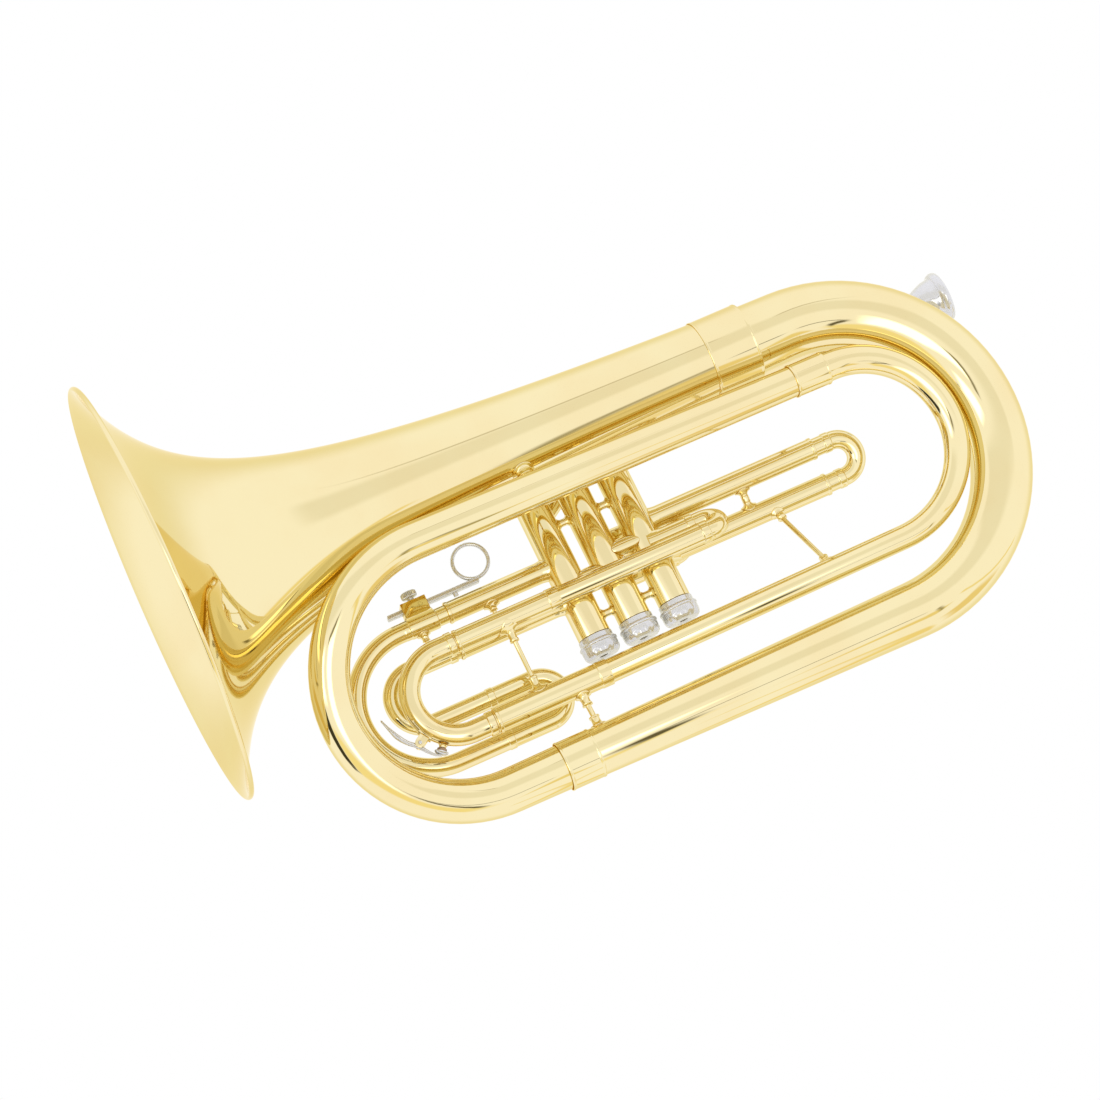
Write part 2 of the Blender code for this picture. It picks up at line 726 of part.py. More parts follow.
def make_outlet(body):
    """The pipe that leaves the first valve, turns back on itself and runs to the main slide."""
    corners = [
        Vector((UPPER_SLEEVE_END_X - SOCKET_DEPTH, MAIN_SLIDE_Y, MAIN_SLIDE_TOP_Z)),
        Vector((OUTLET_REACH, MAIN_SLIDE_Y, MAIN_SLIDE_TOP_Z)),
        Vector((OUTLET_REACH, OUTLET_BACK_Y, OUTLET_BACK_Z)),
        Vector((VALVE_X[1], OUTLET_BACK_Y, OUTLET_BACK_Z)),
    ]
    bend = bow_radius(*corners)
    pipe = Pipe(corners, (bend, bend))
    pipe.taper((0, OUTLET_RADIUS), (pipe.length, OUTLET_RADIUS))
    obj = tube("valve_outlet_pipe", pipe, SLIDE_WALL, TUBE_SIDES, body, BRASS)
    trim_to_casing(obj, 1, body)
    return pipe


def make_first_slide(body, slide, inner_pipe):
    upper_end = Vector((FIRST_SLEEVE_END_X, FIRST_UPPER_Y, FIRST_UPPER_Z))
    lower_end = Vector((FIRST_SLEEVE_END_X, FIRST_LOWER_Y, FIRST_LOWER_Z))
    upper = sleeve_pipe(
        [Vector((VALVE_X[1], FIRST_UPPER_Y, FIRST_UPPER_Z)), upper_end], (), FIRST_SLEEVE_RADIUS
    )
    lower = sleeve_pipe(
        [
            Vector((VALVE_X[1], VALVE_Y, FIRST_LOWER_Z)),
            Vector((FIRST_PORT_BEND_X, FIRST_LOWER_Y, FIRST_LOWER_Z)),
            lower_end,
        ],
        (10 * MM,),
        FIRST_SLEEVE_RADIUS,
    )
    for name, pipe in (("first_sleeve_upper", upper), ("first_sleeve_lower", lower)):
        trim_to_casing(tube(name, pipe, SLIDE_WALL, TUBE_SIDES, body, BRASS), 1, body)
    leg = leg_for(FIRST_SLEEVE_RADIUS)
    corners = [
        upper_end - X_AXIS * FIRST_LEG_LENGTH,
        Vector((FIRST_SLIDE_REACH, FIRST_UPPER_Y, FIRST_UPPER_Z)),
        Vector((FIRST_SLIDE_REACH, FIRST_LOWER_Y, FIRST_LOWER_Z)),
        lower_end - X_AXIS * FIRST_LEG_LENGTH,
    ]
    bend = bow_radius(*corners)
    legs = ((FIRST_LEG_LENGTH + 7 * MM, leg), (FIRST_LEG_LENGTH + 7 * MM, leg))
    pipe = crook_pipe(corners, (bend, bend), legs, leg)
    tube("first_slide_crook", pipe, SLIDE_WALL, TUBE_SIDES, slide, BRASS)
    brace(
        "first_sleeve_brace",
        upper.on_leg(0, FIRST_BRACE_X),
        lower.on_leg(1, FIRST_BRACE_X),
        1.5 * MM,
        5.4 * MM,
        body,
        bead=2.7 * MM,
    )
    brace(
        "first_slide_stay",
        lower.on_leg(1, FIRST_STAY_X),
        inner_pipe.on_leg(2, FIRST_STAY_FOOT_X),
        1.6 * MM,
        4.2 * MM,
        body,
    )


def make_second_slide(body, slide):
    x = VALVE_X[2]
    for name, z in (("second_sleeve_upper", SECOND_UPPER_Z), ("second_sleeve_lower", SECOND_LOWER_Z)):
        corners = [
            Vector((x, VALVE_Y, z)),
            Vector((x, SECOND_Y, z)),
            Vector((SECOND_SLEEVE_END_X, SECOND_Y, z)),
        ]
        pipe = sleeve_pipe(corners, (SECOND_PORT_BEND,), SECOND_SLEEVE_RADIUS)
        trim_to_casing(tube(name, pipe, SLIDE_WALL, TUBE_SIDES, body, BRASS), 2, body)
    leg = leg_for(SECOND_SLEEVE_RADIUS)
    start_x = SECOND_SLEEVE_END_X - SECOND_LEG_LENGTH
    corners = [
        Vector((start_x, SECOND_Y, SECOND_UPPER_Z)),
        Vector((SECOND_SLIDE_REACH, SECOND_Y, SECOND_UPPER_Z)),
        Vector((SECOND_SLIDE_REACH, SECOND_Y, SECOND_LOWER_Z)),
        Vector((start_x, SECOND_Y, SECOND_LOWER_Z)),
    ]
    bend = bow_radius(*corners)
    legs = ((SECOND_LEG_LENGTH + MM / 2, leg), (SECOND_LEG_LENGTH + MM / 2, leg))
    pipe = crook_pipe(corners, (bend, bend), legs, leg)
    tube("second_slide_crook", pipe, SLIDE_WALL, TUBE_SIDES, slide, BRASS)


def make_third_slide(body, slide):
    x = VALVE_X[3]
    sleeves = {}
    for name, z, end_x in (
        ("third_sleeve_upper", THIRD_UPPER_Z, THIRD_UPPER_SLEEVE_END_X),
        ("third_sleeve_lower", THIRD_LOWER_Z, THIRD_LOWER_SLEEVE_END_X),
    ):
        corners = [Vector((x, VALVE_Y, z)), Vector((end_x, VALVE_Y, z))]
        sleeves[name] = sleeve_pipe(corners, (), THIRD_SLEEVE_RADIUS)
        trim_to_casing(tube(name, sleeves[name], SLIDE_WALL, TUBE_SIDES, body, BRASS), 3, body)
    brace(
        "third_sleeve_brace",
        sleeves["third_sleeve_upper"].on_leg(0, 195.8 * MM),
        sleeves["third_sleeve_lower"].on_leg(0, 195.8 * MM),
        1.5 * MM,
        6 * MM,
        body,
    )
    turns = [
        (THIRD_LEG_START_X, THIRD_UPPER_Z),
        (THIRD_OUTER_REACH, THIRD_UPPER_Z),
        (THIRD_OUTER_REACH, THIRD_BOTTOM_Z),
        (THIRD_TURN_REACH, THIRD_BOTTOM_Z),
        (THIRD_TURN_REACH, THIRD_MIDDLE_Z),
        (THIRD_INNER_REACH, THIRD_MIDDLE_Z),
        (THIRD_INNER_REACH, THIRD_LOWER_Z),
        (THIRD_LEG_START_X, THIRD_LOWER_Z),
    ]
    corners = [Vector((x, VALVE_Y, z)) for x, z in turns]
    bends = []
    for first in (0, 2, 4):
        bends += [bow_radius(*corners[first : first + 4])] * 2
    pipe = Pipe(corners, bends)
    leg = leg_for(THIRD_SLEEVE_RADIUS)
    collar_start = THIRD_LEG_START_X - THIRD_COLLAR_END_X
    collar_end = THIRD_LEG_START_X - THIRD_COLLAR_START_X
    band_start = pipe.length - (THIRD_LEG_START_X - THIRD_LOWER_SLEEVE_END_X) - 3 * MM
    pipe.taper(
        (0, leg),
        (collar_start - BAND_SLOPE, leg),
        (collar_start, THIRD_COLLAR_RADIUS),
        (collar_end, THIRD_COLLAR_RADIUS),
        (collar_end + BAND_SLOPE, THIRD_BOW_RADIUS),
        (band_start - CROOK_BAND_LENGTH - BAND_SLOPE, THIRD_BOW_RADIUS),
        (band_start - CROOK_BAND_LENGTH, THIRD_BOW_RADIUS + CROOK_BAND_HEIGHT),
        (band_start, THIRD_BOW_RADIUS + CROOK_BAND_HEIGHT),
        (band_start + BAND_SLOPE, leg),
        (pipe.length, leg),
    )
    obj = tube("third_slide_crook", pipe, SLIDE_WALL, TUBE_SIDES, slide, BRASS)
    top = Vector((THIRD_POST_X, VALVE_Y, THIRD_UPPER_Z - THIRD_COLLAR_RADIUS + SLIDE_WALL / 2))
    bottom = Vector((THIRD_POST_X, VALVE_Y, THIRD_LOWER_Z + THIRD_BOW_RADIUS - SLIDE_WALL / 2))
    combine(obj, rod("third_crook_post", top, bottom, POST_WIRE_RADIUS, 8, slide), "UNION")


# Valves


def make_casing(number, body):
    x = VALVE_X[number]
    height = CASING_TOP_Z - CASING_BOTTOM_Z
    bore = CASING_RADIUS - CASING_WALL
    thread = CASING_RADIUS - THREAD_DEPTH
    profile = [
        (thread, height),
        (thread, height - THREAD_LENGTH),
        (CASING_RADIUS, height - THREAD_LENGTH),
        (CASING_RADIUS, BOTTOM_THREAD_LENGTH),
        (thread, BOTTOM_THREAD_LENGTH),
        (thread, 0),
        (bore, 0),
        (bore, height),
    ]
    base = (x, VALVE_Y, CASING_BOTTOM_Z)
    obj = turned(f"valve_casing_{number}", profile, VALVE_SIDES, base, Z_AXIS, body, BRASS)
    if number == 2:
        join_links(obj, body)
    else:
        join_knuckle(obj, number, body)
    return obj


def bore_cutter(name, number, body):
    x = VALVE_X[number]
    low, high = (x, VALVE_Y, CASING_BOTTOM_Z - MM), (x, VALVE_Y, CASING_TOP_Z + MM)
    return rod(name, low, high, CASING_RADIUS - CASING_WALL, VALVE_SIDES, body)


def outer_casing(name, number, body):
    x = VALVE_X[number]
    low, high = (x, VALVE_Y, CASING_BOTTOM_Z), (x, VALVE_Y, CASING_TOP_Z)
    return rod(name, low, high, CASING_RADIUS + SEAT_GAP, VALVE_SIDES, body)


def join_links(obj, body):
    """Two short bars on each side of the middle casing, reaching its neighbours."""
    for i, z in enumerate(LINK_HEIGHTS):
        start = (VALVE_X[3], VALVE_Y, z)
        end = (VALVE_X[1], VALVE_Y, z)
        combine(obj, rod(f"link_{i}", start, end, LINK_RADIUS, 10, body), "UNION")
    combine(obj, bore_cutter("link_bore", 2, body), "DIFFERENCE")
    for number in (1, 3):
        combine(obj, outer_casing(f"link_end_{number}", number, body), "DIFFERENCE")


def join_knuckle(obj, number, body):
    """The short tube that joins this casing to the middle one, bulging to the horn's left side."""
    z = KNUCKLE_Z[number]
    start = (VALVE_X[number], KNUCKLE_Y, z)
    end = (VALVE_X[2], KNUCKLE_Y, z)
    combine(obj, rod(f"knuckle_{number}", start, end, KNUCKLE_RADIUS, TUBE_SIDES, body), "UNION")
    inside = KNUCKLE_RADIUS - SLIDE_WALL - MM / 2
    beyond = (2 * VALVE_X[2] - VALVE_X[number], KNUCKLE_Y, z)
    combine(obj, rod(f"knuckle_air_{number}", start, beyond, inside, 8, body), "DIFFERENCE")
    combine(obj, bore_cutter(f"knuckle_bore_{number}", number, body), "DIFFERENCE")
    combine(obj, outer_casing(f"knuckle_end_{number}", 2, body), "DIFFERENCE")


def make_bottom_cap(number, body):
    x = VALVE_X[number]
    inside = CASING_RADIUS - THREAD_DEPTH + RUNNING_GAP
    skirt = BOTTOM_THREAD_LENGTH - SEAT_GAP
    height = skirt + SEAT_GAP + BOTTOM_CAP_FLOOR
    bead = CAP_RADIUS + CAP_BEAD_HEIGHT
    band = inside + CAP_WALL
    profile = [
        (band, height),
        (band, height - 3.2 * MM),
        (bead, height - 4.2 * MM),
        (bead, height - 6 * MM),
        (CAP_RADIUS, height - 6.6 * MM),
        (CAP_RADIUS, 3 * MM),
        (CAP_RADIUS - 1.8 * MM, 0),
        (VENT_RADIUS, 0),
        (VENT_RADIUS, BOTTOM_CAP_FLOOR - CAP_FLOOR_DROP),
        (inside, BOTTOM_CAP_FLOOR - CAP_FLOOR_DROP),
        (inside, height),
    ]
    base = (x, VALVE_Y, CASING_BOTTOM_Z - SEAT_GAP - BOTTOM_CAP_FLOOR)
    turned(f"bottom_cap_{number}", profile, VALVE_SIDES, base, Z_AXIS, body, SILVER)


def make_top_cap(number, body):
    x = VALVE_X[number]
    inside = CASING_RADIUS - THREAD_DEPTH + RUNNING_GAP
    skirt = THREAD_LENGTH - SEAT_GAP
    hole = STEM_RADIUS + RUNNING_GAP
    plate_z = CASING_TOP_Z + SEAT_GAP
    base_z = CASING_TOP_Z - skirt
    plate = plate_z - base_z
    top = plate + TOP_CAP_PLATE
    profile = [
        (hole, top),
        (CAP_RADIUS - 2 * MM, top),
        (CAP_RADIUS, top - 1.6 * MM),
        (CAP_RADIUS, 0),
        (inside, 0),
        (inside, plate),
        (hole, plate),
    ]
    turned(f"top_cap_{number}", profile, VALVE_SIDES, (x, VALVE_Y, base_z), Z_AXIS, body, SILVER)


def make_piston(number, body, valve):
    """The piston with its stem, its felt and button on the stem, and its spring below."""
    x = VALVE_X[number]
    radius = CASING_RADIUS - CASING_WALL - RUNNING_GAP
    cap_top = CASING_TOP_Z + SEAT_GAP + TOP_CAP_PLATE
    felt_bottom = cap_top + VALVE_STROKE + SEAT_GAP
    felt_top = felt_bottom + FELT_THICKNESS
    button_bottom = felt_top + SEAT_GAP
    stem_top = button_bottom + BUTTON_BOSS_HEIGHT
    height = PISTON_TOP_Z - PISTON_BOTTOM_Z
    stem = stem_top - PISTON_BOTTOM_Z
    profile = [
        (0, stem),
        (STEM_RADIUS, stem),
        (STEM_RADIUS, height),
        (radius, height),
        (radius, 0),
        (radius - PISTON_WALL, 0),
        (radius - PISTON_WALL, SPRING_POCKET_DEPTH),
        (0, SPRING_POCKET_DEPTH),
    ]
    base = (x, VALVE_Y, PISTON_BOTTOM_Z)
    turned(f"piston_{number}", profile, 16, base, Z_AXIS, valve, STEEL)

    hole = STEM_RADIUS + SEAT_GAP
    ring = [(FELT_RADIUS, FELT_THICKNESS), (FELT_RADIUS, 0), (hole, 0), (hole, FELT_THICKNESS)]
    turned(f"stem_felt_{number}", ring, 12, (x, VALVE_Y, felt_bottom), Z_AXIS, valve, FELT)

    top = BUTTON_BOSS_HEIGHT + BUTTON_THICKNESS
    button = [
        (0, top - 0.5 * MM),
        (BUTTON_RADIUS - MM, top),
        (BUTTON_RADIUS, top - 1.4 * MM),
        (BUTTON_RADIUS - 1.2 * MM, BUTTON_BOSS_HEIGHT),
        (BUTTON_BOSS_RADIUS, BUTTON_BOSS_HEIGHT),
        (BUTTON_BOSS_RADIUS, 0),
        (hole, 0),
        (hole, BUTTON_BOSS_HEIGHT + SEAT_GAP),
        (0, BUTTON_BOSS_HEIGHT + SEAT_GAP),
    ]
    place = (x, VALVE_Y, button_bottom)
    turned(f"finger_button_{number}", button, 12, place, Z_AXIS, valve, SILVER)

    low = CASING_BOTTOM_Z - CAP_FLOOR_DROP + SPRING_WIRE_RADIUS
    high = PISTON_BOTTOM_Z + SPRING_POCKET_DEPTH - SEAT_GAP - SPRING_WIRE_RADIUS
    make_spring(f"piston_spring_{number}", x, low, high, body)


def make_spring(name, x, low, high, body):
    per_turn = 8
    count = per_turn * SPRING_TURNS
    points = []
    for i in range(count + 1):
        angle = 2 * math.pi * i / per_turn
        z = low + (high - low) * i / count
        points.append(
            Vector((x + SPRING_RADIUS * math.cos(angle), VALVE_Y + SPRING_RADIUS * math.sin(angle), z))
        )
    pipe = Pipe(points)
    pipe.taper((0, SPRING_WIRE_RADIUS), (pipe.length, SPRING_WIRE_RADIUS))
    tube(name, pipe, 0, 4, body, STEEL)


# Leadpipe and mouthpiece


def make_leadpipe(body):
    corners = [
        LEADPIPE_START,
        LEADPIPE_BEND,
        Vector((VALVE_X[3], LEADPIPE_BEND.y, LEADPIPE_PORT_Z)),
        Vector((VALVE_X[3], VALVE_Y, LEADPIPE_PORT_Z)),
    ]
    pipe = Pipe(corners, (24 * MM, 10 * MM))
    pipe.taper((0, LEADPIPE_RADIUS), (pipe.length, LEADPIPE_RADIUS))
    trim_to_casing(tube("leadpipe", pipe, SLIDE_WALL, TUBE_SIDES, body, BRASS), 3, body)
    return pipe


def make_mouthpiece(body, mouthpiece, pipe):
    out = (pipe.corners[0] - pipe.corners[1]).normalized()
    start = LEADPIPE_START - out * RECEIVER_OVERLAP
    sides = 16
    socket = hole_for(LEADPIPE_RADIUS, sides)
    mouth = SHANK_TIP_RADIUS + SHANK_DEPTH * SHANK_TAPER + RUNNING_GAP
    deep = SHANK_TIP_RADIUS + RUNNING_GAP
    seat = RECEIVER_LENGTH - SHANK_DEPTH - SEAT_GAP
    bead = RECEIVER_RADIUS + MM
    profile = [
        (bead, RECEIVER_LENGTH),
        (bead, RECEIVER_LENGTH - 3 * MM),
        (RECEIVER_RADIUS, RECEIVER_LENGTH - 4 * MM),
        (RECEIVER_RADIUS - 0.6 * MM, 0),
        (socket, 0),
        (socket, RECEIVER_OVERLAP + SEAT_GAP),
        (deep, seat),
        (mouth, RECEIVER_LENGTH),
    ]
    turned("mouthpiece_receiver", profile, sides, start, out, body, BRASS)

    tip = start + out * (RECEIVER_LENGTH - SHANK_DEPTH)
    length = MOUTHPIECE_LENGTH
    neck = SHANK_TIP_RADIUS + 32 * MM * SHANK_TAPER
    cup = CUP_RADIUS
    opening = CUP_OPENING_RADIUS
    profile = [
        (cup - 1.2 * MM, length),
        (cup, length - 1.2 * MM),
        (cup, length - 3.6 * MM),
        (cup - 2.2 * MM, length - 6 * MM),
        (cup - 3.4 * MM, length - 12 * MM),
        (cup - 5.6 * MM, length - 18 * MM),
        (cup - 8.6 * MM, length - 24 * MM),
        (neck, length - 31 * MM),
        (neck, 32 * MM),
        (SHANK_TIP_RADIUS, 0),
        (SHANK_TIP_RADIUS - 0.9 * MM, 0),
        (THROAT_RADIUS, length - CUP_DEPTH - 8 * MM),
        (THROAT_RADIUS, length - CUP_DEPTH),
        (opening * 0.55, length - CUP_DEPTH * 0.8),
        (opening * 0.85, length - CUP_DEPTH * 0.45),
        (opening, length - 2 * MM),
        (opening + 1.5 * MM, length),
    ]
    turned("mouthpiece", profile, sides, tip, out, mouthpiece, SILVER)


# Finger ring on the third slide


def make_finger_ring(slide, ring_slide, screw_turn):
    half_bar = BAR_WIDTH / 2
    bar_bottom = BAR_TOP_Z - BAR_THICKNESS
    low = (BLOCK_START_X, VALVE_Y - BLOCK_WIDTH / 2, THIRD_UPPER_Z)
    high = (BLOCK_START_X + BLOCK_LENGTH, VALVE_Y + BLOCK_WIDTH / 2, BLOCK_TOP_Z)
    block = box("finger_ring_block", low, high, slide, BRASS)
    gap = RUNNING_GAP
    slot = box(
        "block_slot",
        (BLOCK_START_X - MM, VALVE_Y - half_bar - gap, bar_bottom - gap),
        (BLOCK_START_X + BLOCK_LENGTH + MM, VALVE_Y + half_bar + gap, BAR_TOP_Z + gap),
        slide,
    )
    combine(block, slot, "DIFFERENCE")
    left = (BLOCK_START_X - MM, VALVE_Y, THIRD_UPPER_Z)
    right = (BLOCK_START_X + BLOCK_LENGTH + MM, VALVE_Y, THIRD_UPPER_Z)
    saddle = rod("block_saddle", left, right, THIRD_COLLAR_RADIUS + SEAT_GAP, 24, slide)
    combine(block, saddle, "DIFFERENCE")
    screw_x = BLOCK_START_X + BLOCK_LENGTH / 2
    hole_low = (screw_x, VALVE_Y, BAR_TOP_Z)
    hole_high = (screw_x, VALVE_Y, BLOCK_TOP_Z + MM)
    hole = rod("block_hole", hole_low, hole_high, SCREW_RADIUS + gap, 12, slide)
    combine(block, hole, "DIFFERENCE")

    bar = box(
        "finger_ring",
        (BAR_START_X, VALVE_Y - half_bar, bar_bottom),
        (BAR_START_X + BAR_LENGTH, VALVE_Y + half_bar, BAR_TOP_Z),
        ring_slide,
        SILVER,
    )
    ring_z = BAR_TOP_Z + RING_OUTER_RADIUS - RING_WIRE_RADIUS / 2
    centre = Vector((BAR_START_X + BAR_LENGTH - MM, VALVE_Y, ring_z))
    combine(bar, ring("ring_hoop", centre, ring_slide), "UNION")
    post_bottom = (POST_X, VALVE_Y, THIRD_UPPER_Z + THIRD_SLEEVE_RADIUS + END_BAND_HEIGHT + gap)
    post_top = (POST_X, VALVE_Y, bar_bottom + BAR_THICKNESS / 2)
    combine(bar, rod("ring_post", post_bottom, post_top, POST_RADIUS, 10, ring_slide), "UNION")

    tip_z = BAR_TOP_Z + SEAT_GAP
    collar = BLOCK_TOP_Z + SEAT_GAP - tip_z
    head = collar + SCREW_COLLAR_HEIGHT
    top = head + SCREW_HEAD_HEIGHT
    edge = 0.8 * MM
    profile = [
        (0, top),
        (SCREW_HEAD_RADIUS - edge, top),
        (SCREW_HEAD_RADIUS, top - edge),
        (SCREW_HEAD_RADIUS, head + edge),
        (SCREW_HEAD_RADIUS - edge, head),
        (SCREW_RADIUS * 1.7, head),
        (SCREW_RADIUS * 1.7, collar),
        (SCREW_RADIUS, collar),
        (SCREW_RADIUS, 0),
        (0, 0),
    ]
    turned("thumb_screw", profile, 12, (screw_x, VALVE_Y, tip_z), Z_AXIS, screw_turn, SILVER)


def ring(name, centre, parent):
    """A round wire hoop that stands across the horn's Y axis."""
    major = RING_OUTER_RADIUS - RING_WIRE_RADIUS
    sides = 5
    profile = []
    for i in range(sides):
        angle = -2 * math.pi * i / sides
        profile.append(
            (major + RING_WIRE_RADIUS * math.cos(angle), RING_WIRE_RADIUS * math.sin(angle))
        )
    return turned(name, profile, 16, centre, Y_AXIS, parent)


# Water key


def make_water_key(slide, key, slide_pipe):
    bend = (MAIN_SLIDE_TOP_Z - MAIN_SLIDE_BOTTOM_Z) / 2
    centre = Vector((MAIN_SLIDE_REACH + bend, MAIN_SLIDE_Y, MAIN_SLIDE_TOP_Z - bend))
    surface = bend + MAIN_BOW_RADIUS

    def around(angle, height, across=0.0):
        """A point outside the bow, by its angle and its height over the tube."""
        reach = surface + height
        return centre + Vector((reach * math.cos(angle), across, reach * math.sin(angle)))

    pivot = around(KEY_PIVOT_ANGLE, KEY_PIVOT_HEIGHT)
    out = (pivot - centre).normalized()
    along = Y_AXIS.cross(out)
    hole = KEY_PIN_RADIUS + RUNNING_GAP
    ear_inner = KEY_HUB_WIDTH / 2 + RUNNING_GAP
    ear_outer = ear_inner + KEY_EAR_THICKNESS

    root = around(KEY_PIVOT_ANGLE, -2.5 * MM)
    saddle = box("water_key_saddle", (0, 0, 0), (1, 1, 1), slide, BRASS)
    place_block(saddle, root, pivot, along, 2 * KEY_HUB_RADIUS, 2 * ear_outer)
    for side in (-1, 1):
        near = pivot + Y_AXIS * side * ear_inner
        far = pivot + Y_AXIS * side * ear_outer
        cheek = rod(f"saddle_cheek_{side + 1}", near, far, KEY_HUB_RADIUS, 12, slide)
        combine(saddle, cheek, "UNION")
    room_root = around(KEY_PIVOT_ANGLE, 1 * MM)
    room_top = around(KEY_PIVOT_ANGLE, KEY_PIVOT_HEIGHT + 4 * MM)
    room = box("saddle_room", (0, 0, 0), (1, 1, 1), slide)
    place_block(room, room_root, room_top, along, 9 * MM, 2 * ear_inner)
    combine(saddle, room, "DIFFERENCE")
    combine(saddle, tube("saddle_bow", slide_pipe, 0, 16, slide, None, SEAT_GAP), "DIFFERENCE")
    ends = (pivot - Y_AXIS * 8 * MM, pivot + Y_AXIS * 8 * MM)
    combine(saddle, rod("saddle_hole", *ends, hole, 10, slide), "DIFFERENCE")

    head = 0.8 * MM
    span = ear_outer + RUNNING_GAP
    wide = KEY_PIN_RADIUS * 1.7
    length = 2 * (span + head)
    profile = [
        (0, length),
        (wide, length),
        (wide, length - head),
        (KEY_PIN_RADIUS, length - head),
        (KEY_PIN_RADIUS, head),
        (wide, head),
        (wide, 0),
        (0, 0),
    ]
    turned("water_key_pin", profile, 10, pivot - Y_AXIS * (span + head), Y_AXIS, slide, SILVER)

    nipple_base = around(KEY_HOLE_ANGLE, SEAT_GAP)
    outward = (nipple_base - centre).normalized()
    bore = NIPPLE_RADIUS / 2
    profile = [(NIPPLE_RADIUS, NIPPLE_HEIGHT), (NIPPLE_RADIUS, 0), (bore, 0), (bore, NIPPLE_HEIGHT)]
    turned("water_key_nipple", profile, 12, nipple_base, outward, slide, BRASS)

    cork_base = nipple_base + outward * (NIPPLE_HEIGHT + SEAT_GAP)
    profile = [(0, CORK_THICKNESS), (CORK_RADIUS, CORK_THICKNESS), (CORK_RADIUS, 0), (0, 0)]
    turned("water_key_cork", profile, 12, cork_base, outward, key, CORK)

    cup_wall = 0.8 * MM
    cup_depth = 1.2 * MM
    cup_inside = CORK_RADIUS + SEAT_GAP
    floor = cup_depth + SEAT_GAP
    profile = [
        (0, floor + MM),
        (cup_inside + cup_wall, floor + MM),
        (cup_inside + cup_wall, 0),
        (cup_inside, 0),
        (cup_inside, floor),
        (0, floor),
    ]
    cup_base = cork_base + outward * (CORK_THICKNESS - cup_depth)
    cup = turned("key_cup", profile, 12, cup_base, outward, key)

    cup_top = cup_base + outward * (floor + 0.3 * MM + KEY_ARM_RADIUS)
    tip = around(KEY_TIP_ANGLE, KEY_TIP_HEIGHT)
    knots = [
        cup_top,
        around(math.radians(222), 8 * MM),
        around(math.radians(217), 6.4 * MM),
        around(KEY_PIVOT_ANGLE, KEY_PIVOT_HEIGHT + KEY_HUB_RADIUS * 0.7),
        around(math.radians(204), 9.5 * MM),
        around(math.radians(195), 11.5 * MM),
        around(math.radians(186), 13 * MM),
        tip,
    ]
    arm = Pipe(knots)
    arm.taper((0, KEY_ARM_RADIUS), (arm.length, KEY_ARM_RADIUS * 0.9))
    lever = tube("water_key_lever", arm, 0, 6, key, SILVER)
    hub_ends = (pivot - Y_AXIS * KEY_HUB_WIDTH / 2, pivot + Y_AXIS * KEY_HUB_WIDTH / 2)
    combine(lever, rod("key_hub", *hub_ends, KEY_HUB_RADIUS, 12, key), "UNION")
    combine(lever, cup, "UNION")
    combine(lever, rod("key_hole", *ends, hole, 10, key), "DIFFERENCE")


def place_block(block, low, high, along, length, width):
    """Stretches a unit block from low to high, `length` wide along the bow and `width` across it."""
    up = high - low
    origin = empty_place[block.parent.name]
    block.location = (low + high) / 2 - origin
    for vertex in block.data.vertices:
        side, across, rise = (1 if value > 0 else -1 for value in vertex.co)
        vertex.co = along * side * length / 2 + Y_AXIS * across * width / 2 + up * rise / 2


